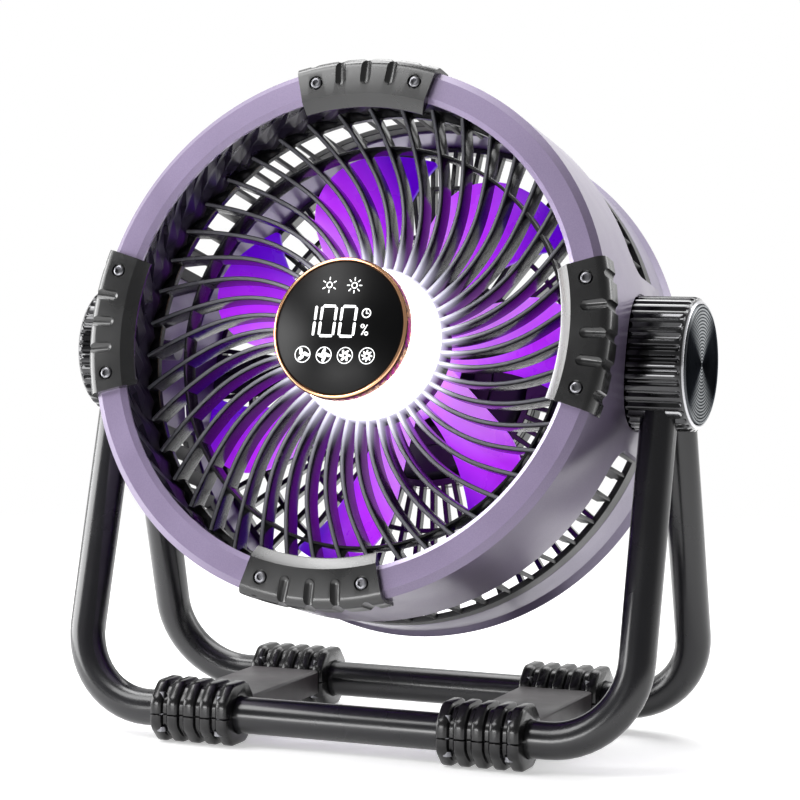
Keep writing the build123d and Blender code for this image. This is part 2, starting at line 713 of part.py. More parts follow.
with BuildPart() as rear_cover:
    with BuildSketch(head.offset(POD_BACK)):
        Circle(POD_RADIUS)
        with PolarLocations(COVER_SCREW_CIRCLE, COVER_SCREW_COUNT):
            Circle(SCREW_RADIUS + SCREW_CLEARANCE, mode=Mode.SUBTRACT)
        for column in key_columns.values():
            with Locations((column, KEY_UP)):
                Circle(KEY_RADIUS + RUNNING_GAP, mode=Mode.SUBTRACT)
        with Locations((0, PORT_DOWN)):
            Rectangle(
                PORT_WIDTH + 2 * PORT_CLEARANCE, PORT_HEIGHT + 2 * PORT_CLEARANCE, mode=Mode.SUBTRACT
            )
    extrude(amount=COVER_THICKNESS)
    for hand in (1, -1):
        lug_start = hand * (FLAP_WIDTH / 2 + FIT_GAP)
        with BuildSketch(hinge_plane.offset(lug_start)):
            Circle(HINGE_RADIUS)
            with Locations(((HINGE_RADIUS + FLAP_GAP) / 2, 0)):
                Rectangle(HINGE_RADIUS + FLAP_GAP, 2 * HINGE_RADIUS)
        extrude(amount=hand * LUG_WIDTH)
    with BuildSketch(hinge_plane):
        Circle(HINGE_PIN_RADIUS)
    extrude(amount=FLAP_WIDTH / 2 + LUG_WIDTH, both=True)
write(rear_cover, "rear_cover")

with BuildPart() as cover_screws:
    with BuildSketch(head.offset(POD_BACK)):
        with PolarLocations(COVER_SCREW_CIRCLE, COVER_SCREW_COUNT):
            Circle(SCREW_HEAD_RADIUS)
    extrude(amount=-COVER_SCREW_HEAD)
    with BuildSketch(head.offset(POD_BACK)):
        with PolarLocations(COVER_SCREW_CIRCLE, COVER_SCREW_COUNT):
            Circle(SCREW_RADIUS - CLOSE_GAP)
    extrude(amount=COVER_THICKNESS + SCREW_HOLE_DEPTH - COVER_SCREW_END)
write(cover_screws, "cover_screws")

for button_name, column in key_columns.items():
    with BuildPart() as button:
        with BuildSketch(head.offset(cover_face + FLAP_GAP)):
            with Locations((column, KEY_UP)):
                Circle(KEY_FLANGE_RADIUS)
        extrude(amount=KEY_FLANGE)
        with BuildSketch(head.offset(POD_BACK - KEY_PROUD)):
            with Locations((column, KEY_UP)):
                Circle(KEY_RADIUS)
        extrude(amount=COVER_THICKNESS + KEY_PROUD + KEY_FLANGE)
        key_rim = button.edges().filter_by(GeomType.CIRCLE).sort_by(head_axis)[0]
        chamfer(key_rim, length=KEY_CHAMFER)
    write(button, button_name)

with BuildPart() as port_cover:
    with BuildSketch(hinge_plane.offset(-FLAP_WIDTH / 2)):
        Circle(HINGE_RADIUS)
        with Locations((HINGE_RADIUS - FLAP_THICKNESS / 2, FLAP_LENGTH / 2)):
            Rectangle(FLAP_THICKNESS, FLAP_LENGTH)
        Circle(HINGE_PIN_RADIUS + RUNNING_GAP, mode=Mode.SUBTRACT)
    extrude(amount=FLAP_WIDTH)
write(port_cover, "port_cover")

# control board with a key switch behind each button, and the charging port on its edge
SWITCH_SIZE = 6.0
SWITCH_HEIGHT = 3.4
CONTROL_RADIUS = 39.0
switch_top = cover_face + FLAP_GAP + KEY_FLANGE + KEY_TRAVEL + 2 * FLAP_GAP
board_back = switch_top + SWITCH_HEIGHT

with BuildPart() as control_board:
    with BuildSketch(head.offset(board_back)):
        Circle(CONTROL_RADIUS)
    extrude(amount=BOARD_THICKNESS)
    with BuildSketch(head.offset(switch_top)):
        for column in key_columns.values():
            with Locations((column, KEY_UP)):
                Rectangle(SWITCH_SIZE, SWITCH_SIZE)
    extrude(amount=SWITCH_HEIGHT)
write(control_board, "control_board")

with BuildPart() as charging_port:
    with BuildSketch(head.offset(POD_BACK + PORT_INSET)):
        with Locations((0, PORT_DOWN)):
            RectangleRounded(PORT_WIDTH, PORT_HEIGHT, PORT_HEIGHT / 2 - CLOSE_GAP)
            RectangleRounded(
                PORT_WIDTH - 2 * PORT_WALL,
                PORT_HEIGHT - 2 * PORT_WALL,
                PORT_HEIGHT / 2 - PORT_WALL - CLOSE_GAP,
                mode=Mode.SUBTRACT,
            )
    extrude(amount=board_back - POD_BACK - PORT_INSET)
    with BuildSketch(head.offset(board_back - PORT_BASE)):
        with Locations((0, PORT_DOWN)):
            RectangleRounded(PORT_WIDTH, PORT_HEIGHT, PORT_HEIGHT / 2 - CLOSE_GAP)
    extrude(amount=PORT_BASE)
write(charging_port, "charging_port")

# three cells side by side in a moulded holder in front of the board
CELL_RADIUS = 8.6
CELL_LENGTH = 65.0
CELL_PITCH = 19.0
CELL_COUNT = 3
HOLDER_WALL = 2.0
HOLDER_CELL_SPAN = 14.0
holder_back = board_back + BOARD_THICKNESS
cell_depth = (holder_back + POD_FRONT_WALL) / 2

with BuildPart() as battery_cells:
    with BuildSketch(head_side.offset(-CELL_LENGTH / 2)):
        with GridLocations(0, CELL_PITCH, 1, CELL_COUNT):
            with Locations((cell_depth, 0)):
                Circle(CELL_RADIUS)
    extrude(amount=CELL_LENGTH)
write(battery_cells, "battery_cells")

with BuildPart() as battery_holder:
    for hand in (1, -1):
        with BuildSketch(head_side.offset(hand * CELL_LENGTH / 2)):
            with Locations((cell_depth, 0)):
                Rectangle(POD_FRONT_WALL - holder_back, CELL_PITCH * (CELL_COUNT - 1) + HOLDER_CELL_SPAN)
        extrude(amount=hand * HOLDER_WALL)
write(battery_holder, "battery_holder")

# ---------------------------------------------------------------- motor and rotor
# The motor can stands on the bracket inside the rotor's hollow hub. Its shaft runs in two
# bearings and carries the magnet at the back and the bladed rotor at the front.
BRACKET_FOOT_RADIUS = 34.0
BRACKET_FOOT = 2.5
BRACKET_BACK_RADIUS = 25.0
BRACKET_FRONT_RADIUS = 21.0
BRACKET_WALL = 2.5
CAN_RADIUS = 21.0
CAN_WALL = 1.5
CAN_CHAMFER = 1.0
CAN_BACK = -24.0
CAN_FRONT = 2.0
BEARING_RADIUS = 5.0
BEARING_LENGTH = 3.0
SHAFT_RADIUS = 2.0
SHAFT_BACK = -23.0
SHAFT_FRONT = 13.0
MAGNET_RADIUS = 9.5
CORE_BORE = 10.2
CORE_BACK = -17.0
CORE_FRONT = -4.0

with BuildPart() as motor_bracket:
    revolve(
        section(
            (0, CAN_BACK),
            (BRACKET_FRONT_RADIUS, CAN_BACK),
            (BRACKET_BACK_RADIUS, pod_front + BRACKET_FOOT),
            (BRACKET_FOOT_RADIUS, pod_front + BRACKET_FOOT),
            (BRACKET_FOOT_RADIUS, pod_front),
            (BRACKET_BACK_RADIUS - BRACKET_WALL, pod_front),
            (BRACKET_FRONT_RADIUS - BRACKET_WALL, CAN_BACK - BRACKET_WALL),
            (0, CAN_BACK - BRACKET_WALL),
        ),
        axis=head_axis,
    )
write(motor_bracket, "motor_bracket")

with BuildPart() as motor_can:
    revolve(
        section(
            (BEARING_RADIUS, CAN_BACK),
            (CAN_RADIUS, CAN_BACK),
            (CAN_RADIUS, CAN_FRONT - CAN_CHAMFER),
            (CAN_RADIUS - CAN_CHAMFER, CAN_FRONT),
            (BEARING_RADIUS, CAN_FRONT),
            (BEARING_RADIUS, CAN_FRONT - BEARING_LENGTH),
            (CAN_RADIUS - CAN_WALL, CAN_FRONT - BEARING_LENGTH),
            (CAN_RADIUS - CAN_WALL, CAN_BACK + BEARING_LENGTH),
            (BEARING_RADIUS, CAN_BACK + BEARING_LENGTH),
        ),
        axis=head_axis,
    )
write(motor_can, "motor_can")

with BuildPart() as motor_core:
    with BuildSketch(head.offset(CORE_BACK)):
        Circle(CAN_RADIUS - CAN_WALL)
        Circle(CORE_BORE, mode=Mode.SUBTRACT)
    extrude(amount=CORE_FRONT - CORE_BACK)
write(motor_core, "motor_core")

bearing_places = {"front_bearing": CAN_FRONT - BEARING_LENGTH, "rear_bearing": CAN_BACK}
for bearing_name, back in bearing_places.items():
    with BuildPart() as bearing:
        with BuildSketch(head.offset(back)):
            Circle(BEARING_RADIUS)
            Circle(SHAFT_RADIUS + RUNNING_GAP, mode=Mode.SUBTRACT)
        extrude(amount=BEARING_LENGTH)
    write(bearing, bearing_name)

with BuildPart() as motor_shaft:
    with BuildSketch(head.offset(SHAFT_BACK)):
        Circle(SHAFT_RADIUS)
    extrude(amount=SHAFT_FRONT - SHAFT_BACK)
write(motor_shaft, "motor_shaft")

with BuildPart() as motor_magnet:
    with BuildSketch(head.offset(CORE_BACK)):
        Circle(MAGNET_RADIUS)
        Circle(SHAFT_RADIUS, mode=Mode.SUBTRACT)
    extrude(amount=CORE_FRONT - CORE_BACK)
write(motor_magnet, "motor_magnet")

# One bladed rotor: a hollow hub and broad cambered blades. The clockwise edge of a blade is
# swept and lies furthest back; the other edge is straight, lies furthest forward and runs
# into the tip with a large rounding.
HUB_FACE = 9.5
HUB_BACK = -20.0
HUB_WALL = 2.5
HUB_FRONT_WALL = 4.0
HUB_NOSE_CHAMFER = 2.0
BLADE_PHASE = 61.1
BLADE_PITCH = 32.0
BLADE_THICKNESS = 2.0
CAMBER = 0.06
# radius, turn, set-back and chord of a blade inside the hub, half way out and past the tip
ROOT_STATION = (24.0, 7.5, 13.3, 36.0)
MIDDLE_STATION = (65.0, 0.3, 6.7, 50.0)
TIP_STATION = (106.0, -14.5, 14.9, 70.0)
SWEPT_EDGE_START = (20.0, -8.5)
SWEPT_EDGE_MIDDLE = (63.0, -16.5)
SWEPT_EDGE_END = (96.0, -47.0)
STRAIGHT_EDGE = 17.0
SWEPT_CORNER_ROUNDING = 5.0
STRAIGHT_CORNER_ROUNDING = 32.0
NUT_RADIUS = 4.5
NUT_BORE_HEIGHT = 3.0

with BuildPart() as fan_blade:
    for radius, turn, set_back, chord in (ROOT_STATION, MIDDLE_STATION, TIP_STATION):
        half = chord / 2
        rise = CAMBER * chord
        x_axis = (-sin(radians(turn)), cos(radians(turn)), 0)
        outward = (cos(radians(turn)), sin(radians(turn)), 0)
        place = Vector(*outward) * radius - Vector(0, 0, set_back)
        station = Plane(origin=place, x_dir=x_axis, z_dir=outward).rotated((0, 0, BLADE_PITCH))
        with BuildSketch(station):
            with BuildLine():
                ThreePointArc((-half, 0), (0, rise), (half, 0))
                Line((half, 0), (half, -BLADE_THICKNESS))
                ThreePointArc(
                    (half, -BLADE_THICKNESS), (0, rise - BLADE_THICKNESS), (-half, -BLADE_THICKNESS)
                )
                Line((-half, -BLADE_THICKNESS), (-half, 0))
            make_face()
    loft()
    with BuildSketch(Plane.XY.offset(-BLADE_TIP_RADIUS)) as blade_outline:
        Circle(BLADE_TIP_RADIUS)
        with BuildLine():
            ThreePointArc(SWEPT_EDGE_START, SWEPT_EDGE_MIDDLE, SWEPT_EDGE_END)
            Polyline(
                SWEPT_EDGE_END,
                (BLADE_TIP_RADIUS, SWEPT_EDGE_END[1]),
                (BLADE_TIP_RADIUS, STRAIGHT_EDGE),
                (SWEPT_EDGE_START[0], STRAIGHT_EDGE),
                SWEPT_EDGE_START,
            )
        make_face(mode=Mode.INTERSECT)
        Circle(ROTOR_HUB_RADIUS - HUB_WALL / 2, mode=Mode.SUBTRACT)
        outer_corners = [v for v in blade_outline.vertices() if v.X > BLADE_TIP_RADIUS / 2]
        fillet(min(outer_corners, key=lambda v: v.Y), radius=SWEPT_CORNER_ROUNDING)
        outer_corners = [v for v in blade_outline.vertices() if v.X > BLADE_TIP_RADIUS / 2]
        fillet(max(outer_corners, key=lambda v: v.Y), radius=STRAIGHT_CORNER_ROUNDING)
    extrude(amount=2 * BLADE_TIP_RADIUS, mode=Mode.INTERSECT)

with BuildPart() as fan_rotor:
    revolve(
        section(
            (SHAFT_RADIUS, HUB_FACE - HUB_FRONT_WALL),
            (ROTOR_HUB_RADIUS - HUB_WALL, HUB_FACE - HUB_FRONT_WALL),
            (ROTOR_HUB_RADIUS - HUB_WALL, HUB_BACK),
            (ROTOR_HUB_RADIUS, HUB_BACK),
            (ROTOR_HUB_RADIUS, HUB_FACE - HUB_NOSE_CHAMFER),
            (ROTOR_HUB_RADIUS - HUB_NOSE_CHAMFER, HUB_FACE),
            (SHAFT_RADIUS, HUB_FACE),
        ),
        axis=head_axis,
    )
    blade_on_head = fan_blade.part.moved(head.location).rotate(head_axis, BLADE_PHASE)
    add([blade_on_head.rotate(head_axis, index * 360 / BLADE_COUNT) for index in range(BLADE_COUNT)])
    with BuildSketch(head.offset(HUB_BACK)):
        Circle(ROTOR_HUB_RADIUS - HUB_WALL)
    extrude(amount=HUB_FACE - HUB_FRONT_WALL - HUB_BACK, mode=Mode.SUBTRACT)
write(fan_rotor, "fan_rotor")

with BuildPart() as rotor_nut:
    with BuildSketch(head.offset(HUB_FACE)):
        RegularPolygon(NUT_RADIUS, 6)
        Circle(SHAFT_RADIUS, mode=Mode.SUBTRACT)
    extrude(amount=NUT_BORE_HEIGHT)
write(rotor_nut, "rotor_nut")

# ---------------------------------------------------------------- stand
# Two bent tubes stand in clamped feet; two beams tie the front feet to the rear feet.
LEG_LEAN = degrees(atan2(BAR_Y - LEG_Y_AT_PIVOT, PIVOT_HEIGHT - BAR_HEIGHT))
TUBE_TOP_DROP = 14.0
lean = radians(LEG_LEAN)
leg_top = TUBE_TOP_DROP / cos(lean)
leg_length = (PIVOT_HEIGHT - BAR_HEIGHT) / cos(lean)
leg_plane = Plane(
    origin=(0, -LEG_Y_AT_PIVOT, PIVOT_HEIGHT), x_dir=(1, 0, 0), z_dir=(0, -cos(lean), sin(lean))
)

with BuildPart() as front_stand_tube:
    with BuildLine(leg_plane):
        FilletPolyline(
            (LEG_X, -leg_top),
            (LEG_X, -leg_length),
            (-LEG_X, -leg_length),
            (-LEG_X, -leg_top),
            radius=BEND_RADIUS,
        )
    start = leg_plane.from_local_coords((LEG_X, -leg_top, 0))
    with BuildSketch(Plane(origin=start, x_dir=(1, 0, 0), z_dir=-leg_plane.y_dir)):
        Circle(TUBE_RADIUS)
        Circle(TUBE_RADIUS - TUBE_WALL, mode=Mode.SUBTRACT)
    sweep()
write(front_stand_tube, "front_stand_tube")

with BuildPart() as rear_stand_tube:
    add(front_stand_tube.part.mirror(Plane.XZ))
write(rear_stand_tube, "rear_stand_tube")

# Each foot is two ribbed halves closed round the tube and drawn together by screws.
FOOT_HALF_WIDTH = 16.0
FOOT_TOP = 29.5
FOOT_CHAMFER = 8.0
FOOT_RIB_PITCH = 8.54
FOOT_GROOVE = 3.4
FOOT_GROOVE_DEPTH = 2.4
FOOT_GROOVE_COUNT = 4
FOOT_SCREW_Y = 12.0
FOOT_SCREW_X = 15.0
FOOT_SCREW_RADIUS = 1.5
FOOT_HEAD_RADIUS = 2.6
FOOT_HEAD = 2.2
FOOT_SCREW_LENGTH = 16.5
TUBE_FIT = 0.05

foot_centre_x = FOOT_INNER_X + FOOT_LENGTH / 2
foot_corners = {
    "front_right": (1, -1),
    "front_left": (-1, -1),
    "rear_right": (1, 1),
    "rear_left": (-1, 1),
}
foot_plane = Plane(origin=(FOOT_INNER_X, 0, 0), x_dir=(0, 1, 0), z_dir=(1, 0, 0))


def foot_outline(inset):
    """The foot's end outline, drawn in by an inset, from its chamfered corners."""
    half = FOOT_HALF_WIDTH - inset
    top = FOOT_TOP - inset
    corner = FOOT_CHAMFER
    with BuildSketch() as outline:
        with BuildLine():
            Polyline(
                (-half + corner, 0),
                (half - corner, 0),
                (half, corner),
                (half, top - corner),
                (half - corner, top),
                (-half + corner, top),
                (-half, top - corner),
                (-half, corner),
                close=True,
            )
        make_face()
    return outline.sketch


with BuildPart() as foot_blank:
    with BuildSketch(foot_plane):
        add(foot_outline(0))
    extrude(amount=FOOT_LENGTH)
    for index in range(FOOT_GROOVE_COUNT):
        middle = FOOT_LENGTH / 2 + (index - (FOOT_GROOVE_COUNT - 1) / 2) * FOOT_RIB_PITCH
        with BuildSketch(foot_plane.offset(middle - FOOT_GROOVE / 2)):
            Rectangle(FOOT_HALF_WIDTH * 4, FOOT_TOP * 4)
            add(foot_outline(FOOT_GROOVE_DEPTH), mode=Mode.SUBTRACT)
        extrude(amount=FOOT_GROOVE, mode=Mode.SUBTRACT)
    with BuildSketch(foot_plane):
        with Locations((0, BAR_HEIGHT)):
            Circle(TUBE_RADIUS + TUBE_FIT)
    extrude(amount=FOOT_LENGTH, mode=Mode.SUBTRACT)
    screw_places = [(foot_centre_x + i * FOOT_SCREW_X, j * FOOT_SCREW_Y) for i in (-1, 1) for j in (-1, 1)]
    with BuildSketch():
        with Locations(screw_places):
            Circle(FOOT_SCREW_RADIUS)
    extrude(amount=FOOT_TOP - FOOT_CHAMFER / 2, mode=Mode.SUBTRACT)
    with BuildSketch():
        with Locations(screw_places):
            Circle(FOOT_HEAD_RADIUS + SCREW_CLEARANCE)
    extrude(amount=FOOT_CHAMFER, mode=Mode.SUBTRACT)

for corner_name, (side, end) in foot_corners.items():
    for half_name, half_base in (("sole", 0), ("cap", BAR_HEIGHT)):
        with BuildPart() as foot_half:
            add(foot_blank.part.moved(Location((0, BAR_Y, 0))))
            with BuildSketch(Plane.XY.offset(half_base)):
                with Locations((foot_centre_x, BAR_Y)):
                    Rectangle(FOOT_LENGTH * 2, FOOT_HALF_WIDTH * 4)
            extrude(amount=FOOT_TOP if half_base else BAR_HEIGHT, mode=Mode.INTERSECT)
        with BuildPart() as foot_piece:
            placed = foot_half.part if side > 0 else foot_half.part.mirror(Plane.YZ)
            add(placed if end > 0 else placed.mirror(Plane.XZ))
        write(foot_piece, f"{corner_name}_foot_{half_name}")

with BuildPart() as foot_screws:
    every_place = [
        (side * x, end * (y + BAR_Y)) for side, end in foot_corners.values() for x, y in screw_places
    ]
    with BuildSketch(Plane.XY.offset(FOOT_CHAMFER)):
        with Locations(every_place):
            Circle(FOOT_HEAD_RADIUS)
    extrude(amount=-FOOT_HEAD)
    with BuildSketch(Plane.XY.offset(FOOT_CHAMFER)):
        with Locations(every_place):
            Circle(FOOT_SCREW_RADIUS - TUBE_FIT)
    extrude(amount=FOOT_SCREW_LENGTH)
write(foot_screws, "foot_screws")

# channel beams between the front and the rear feet
BEAM_INNER_X = 54.0
BEAM_WIDTH = 37.0
BEAM_TOP = 20.5
BEAM_BASE = 8.0
BEAM_WALL = 3.0
BEAM_CHAMFER = 2.0
beam_half = BAR_Y - FOOT_HALF_WIDTH

for side, beam_name in ((1, "right_cross_beam"), (-1, "left_cross_beam")):
    with BuildPart() as cross_beam:
        with BuildSketch(Plane.XZ.offset(-beam_half)):
            with Locations((side * (BEAM_INNER_X + BEAM_WIDTH / 2), (BEAM_TOP + BEAM_BASE) / 2)):
                Rectangle(BEAM_WIDTH, BEAM_TOP - BEAM_BASE)
        extrude(amount=2 * beam_half)
        long_edges = cross_beam.edges().filter_by(Axis.Y).sort_by(Axis.Z)[-2:]
        chamfer(long_edges, length=BEAM_CHAMFER)
        with BuildSketch(Plane.XZ.offset(-beam_half)):
            with Locations((side * (BEAM_INNER_X + BEAM_WIDTH / 2), (BEAM_TOP + BEAM_BASE) / 2 - BEAM_WALL)):
                Rectangle(BEAM_WIDTH - 2 * BEAM_WALL, BEAM_TOP - BEAM_BASE)
        extrude(amount=2 * beam_half, mode=Mode.SUBTRACT)
    write(cross_beam, beam_name)

# ---------------------------------------------------------------- hubs
# A ribbed hub joins the tops of both tubes on each side. A pin pressed in its middle
# reaches into the drum, and a friction washer beside the drum's seat holds the tilt.
HUB_RIM_X = 153.0
HUB_RIM_RADIUS = 30.0
HUB_RIB_COUNT = 36
HUB_RIB_WIDTH = 2.7
HUB_RIB_DEPTH = 3.0
HUB_RIM_DROP = 0.8
HUB_RIM_LAND = 1.0
CAP_SEAT_RADIUS = 27.8
CAP_THICKNESS = 2.6
CAP_CHAMFER = 0.6
PIN_INNER_X = 114.0
PIN_HEAD_X = 146.0
PIN_HEAD_RADIUS = 8.0
PIN_HEAD = 4.0
WASHER_RADIUS = 24.0
WASHER_GAP = 0.05
cap_back = HUB_OUTER_X - CAP_THICKNESS
pivot_axis = Axis(pivot, (1, 0, 0))
hub_section = Plane(origin=pivot, x_dir=(1, 0, 0), z_dir=(0, -1, 0))


def hub_profile(side, *points):
    """A closed face on the hubs' section plane, from (x, radius) points."""
    with BuildSketch(hub_section) as face:
        with BuildLine():
            Polyline(*[(side * x, radius) for x, radius in points], close=True)
        make_face()
    return face.sketch


for side, side_name in ((1, "right"), (-1, "left")):
    with BuildPart() as hub:
        revolve(
            hub_profile(
                side,
                (HUB_INNER_X, 0),
                (HUB_INNER_X, HUB_RIM_RADIUS),
                (HUB_RIM_X, HUB_RIM_RADIUS),
                (HUB_OUTER_X - HUB_RIM_DROP, CAP_SEAT_RADIUS + HUB_RIM_LAND),
                (HUB_OUTER_X - HUB_RIM_DROP, CAP_SEAT_RADIUS),
                (cap_back, CAP_SEAT_RADIUS),
                (cap_back, 0),
            ),
            axis=pivot_axis,
        )
        with BuildSketch(Plane(origin=pivot, x_dir=(0, 1, 0), z_dir=(1, 0, 0)).offset(side * HUB_INNER_X)):
            with PolarLocations(HUB_RADIUS - HUB_RIB_DEPTH / 2, HUB_RIB_COUNT):
                Rectangle(HUB_RIB_DEPTH, HUB_RIB_WIDTH)
        extrude(amount=side * (HUB_RIM_X - HUB_INNER_X))
        for end in (1, -1):
            socket_dir = Vector(0, end * sin(lean), -cos(lean))
            socket_top = Vector(side * LEG_X, end * LEG_Y_AT_PIVOT, PIVOT_HEIGHT) + socket_dir * leg_top
            with BuildSketch(Plane(origin=socket_top, x_dir=(1, 0, 0), z_dir=socket_dir)):
                Circle(TUBE_RADIUS + TUBE_FIT)
            extrude(amount=HUB_RADIUS, mode=Mode.SUBTRACT)
        revolve(
            hub_profile(
                side,
                (HUB_INNER_X - CUT_PAST, 0),
                (HUB_INNER_X - CUT_PAST, PIN_RADIUS),
                (PIN_HEAD_X, PIN_RADIUS),
                (PIN_HEAD_X, PIN_HEAD_RADIUS),
                (cap_back + CUT_PAST, PIN_HEAD_RADIUS),
                (cap_back + CUT_PAST, 0),
            ),
            axis=pivot_axis,
            mode=Mode.SUBTRACT,
        )
    write(hub, f"{side_name}_hub")

    with BuildPart() as hub_cap:
        revolve(
            hub_profile(
                side,
                (cap_back, 0),
                (cap_back, CAP_SEAT_RADIUS),
                (HUB_OUTER_X - CAP_CHAMFER, CAP_SEAT_RADIUS),
                (HUB_OUTER_X, CAP_SEAT_RADIUS - CAP_CHAMFER),
                (HUB_OUTER_X, 0),
            ),
            axis=pivot_axis,
        )
    write(hub_cap, f"{side_name}_hub_cap")

    with BuildPart() as pivot_pin:
        revolve(
            hub_profile(
                side,
                (PIN_INNER_X, 0),
                (PIN_INNER_X, PIN_RADIUS),
                (PIN_HEAD_X, PIN_RADIUS),
                (PIN_HEAD_X, PIN_HEAD_RADIUS),
                (PIN_HEAD_X + PIN_HEAD, PIN_HEAD_RADIUS),
                (PIN_HEAD_X + PIN_HEAD, 0),
            ),
            axis=pivot_axis,
        )
    write(pivot_pin, f"{side_name}_pivot_pin")

    with BuildPart() as friction_washer:
        revolve(
            hub_profile(
                side,
                (SEAT_X + WASHER_GAP, PIN_RADIUS),
                (SEAT_X + WASHER_GAP, WASHER_RADIUS),
                (HUB_INNER_X, WASHER_RADIUS),
                (HUB_INNER_X, PIN_RADIUS),
            ),
            axis=pivot_axis,
        )
    write(friction_washer, f"{side_name}_friction_washer")
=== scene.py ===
import json
from math import atan2, cos, pi, radians, sin, sqrt

import bmesh
import bpy
from mathutils import Matrix, Vector


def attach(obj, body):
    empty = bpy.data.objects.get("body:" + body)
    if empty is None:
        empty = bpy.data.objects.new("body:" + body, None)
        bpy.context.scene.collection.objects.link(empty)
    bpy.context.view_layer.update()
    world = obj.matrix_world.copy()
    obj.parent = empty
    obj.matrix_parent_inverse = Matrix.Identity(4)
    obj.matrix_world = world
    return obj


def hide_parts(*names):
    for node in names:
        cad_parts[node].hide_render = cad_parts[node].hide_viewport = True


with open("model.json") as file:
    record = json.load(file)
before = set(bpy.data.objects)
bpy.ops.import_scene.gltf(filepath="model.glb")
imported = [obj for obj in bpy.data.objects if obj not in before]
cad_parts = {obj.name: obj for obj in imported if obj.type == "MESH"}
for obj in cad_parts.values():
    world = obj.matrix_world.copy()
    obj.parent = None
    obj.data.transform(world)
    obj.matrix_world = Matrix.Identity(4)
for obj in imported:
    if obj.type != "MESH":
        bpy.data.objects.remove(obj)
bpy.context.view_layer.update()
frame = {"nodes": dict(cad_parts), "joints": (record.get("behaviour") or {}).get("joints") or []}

# ---- stand tubes
# Two steel tubes, each bent cold at four corners into a pair of legs and a ground bar.
# They are dip painted in gloss black, which lies over the bends with a faint orange peel.
MM = 0.001
TUBE_RADIUS = 8.65
TUBE_WALL = 1.5
LEG_X = 139.5
BAR_HEIGHT = 14.1
BAR_Y = 55.4
LEG_Y_AT_PIVOT = 8.1
BEND_RADIUS = 38.0
TUBE_TOP_DROP = 14.0
BEND_STEPS = 14
TUBE_SIDES = 48
# how far apart the smudges lie that make a finish a little duller here and there
SMUDGE_SIZE = 24

tilt_joint = next(joint for joint in frame["joints"] if joint["name"] == "head_tilt")
spin_joint = next(joint for joint in frame["joints"] if joint["name"] == "rotor_spin")
pivot = Vector(tilt_joint["pos_m"])
right = Vector((1, 0, 0))
forward = Vector(spin_joint["axis"])
up = forward.cross(right)
stand_place = Matrix.Scale(MM, 4)
head_place = (
    Matrix.Translation(pivot) @ Matrix((right, up, forward)).transposed().to_4x4() @ stand_place
)
pivot_height = pivot.z / MM


def linear(colour):
    """A colour written as sRGB hex, as Blender's linear red, green, blue and alpha."""
    shares = [int(colour[place:place + 2], 16) / 255 for place in (1, 3, 5)]
    return [s / 12.92 if s <= 0.04045 else ((s + 0.055) / 1.055) ** 2.4 for s in shares] + [1.0]


def output_of(node):
    """The output that a node has in use."""
    return next(output for output in node.outputs if output.enabled)


def add(finish, kind, inputs=None, **settings):
    """Adds one node to a finish, with its settings and with a value or a link for each input."""
    tree = finish.node_tree
    node = tree.nodes.new("ShaderNode" + kind)
    for name, value in settings.items():
        setattr(node, name, value)
    for name, value in (inputs or {}).items():
        if isinstance(value, bpy.types.Node):
            value = output_of(value)
        if isinstance(value, bpy.types.NodeSocket):
            tree.links.new(value, node.inputs[name])
        else:
            node.inputs[name].default_value = value
    return node


def feed(finish, socket, node):
    """Leads a node to a socket of the finish's shader."""
    finish.node_tree.links.new(output_of(node), finish.node_tree.nodes["Principled BSDF"].inputs[socket])


def new_finish(name, colour, **sockets):
    """A finish with its flat colour and its shader's fixed values."""
    finish = bpy.data.materials.new(name)
    finish.use_nodes = True
    inputs = finish.node_tree.nodes["Principled BSDF"].inputs
    inputs["Base Color"].default_value = linear(colour)
    for name, value in sockets.items():
        inputs[name.replace("_", " ")].default_value = value
    return finish


def tone_by(finish, share, low, high):
    """Colours a finish between two shades, by a share from 0 to 1."""
    tone = add(finish, "Mix", {0: share, 6: linear(low), 7: linear(high)}, data_type="RGBA")
    feed(finish, "Base Color", tone)


def shade_over(finish, light, dark, size_mm, detail=4.0):
    """Lets the colour drift between two shades in patches of a size in millimetres."""
    place = add(finish, "TexCoord").outputs["Object"]
    patches = add(finish, "TexNoise", {"Vector": place, "Scale": 1000 / size_mm, "Detail": detail})
    share = add(finish, "MapRange", {"Value": patches, "From Min": 0.35, "From Max": 0.65})
    tone_by(finish, share, dark, light)


def grain(finish, size_mm, height_mm, low=None, high=None):
    """Raises a fine grain on the surface and, where asked, lets the gloss vary over it."""
    place = add(finish, "TexCoord").outputs["Object"]
    grains = add(finish, "TexNoise", {"Vector": place, "Scale": 1000 / size_mm, "Detail": 3.0})
    feed(finish, "Normal", add(finish, "Bump", {"Height": grains, "Distance": height_mm * MM}))
    if low is not None:
        smudges = add(finish, "TexNoise", {"Vector": place, "Scale": 1000 / SMUDGE_SIZE, "Detail": 4.0})
        feed(finish, "Roughness", add(finish, "MapRange", {
            "Value": smudges, "From Min": 0.35, "From Max": 0.65, "To Min": low, "To Max": high,
        }))


def among(parts, kind):
    """Those of an operator's results that are of one kind."""
    return [part for part in parts if isinstance(part, kind)]


def ends(edges):
    """The vertices of some edges."""
    return list({vert for edge in edges for vert in edge.verts})


def move(shape, step, verts=None):
    """Moves a shape, or some of its vertices."""
    bmesh.ops.translate(shape, verts=shape.verts if verts is None else verts, vec=step)


def roll(shape, angle, axis="Z", verts=None):
    """Turns a shape, or some of its vertices, round the origin."""
    chosen = shape.verts if verts is None else verts
    bmesh.ops.rotate(shape, verts=chosen, matrix=Matrix.Rotation(angle, 3, axis))


def pull(shape, rim, step=(0, 0, 0)):
    """Draws an open rim of edges out along a straight step and returns the new rim."""
    drawn = bmesh.ops.extrude_edge_only(shape, edges=rim)["geom"]
    move(shape, step, among(drawn, bmesh.types.BMVert))
    return [edge for edge in among(drawn, bmesh.types.BMEdge) if edge.is_boundary]


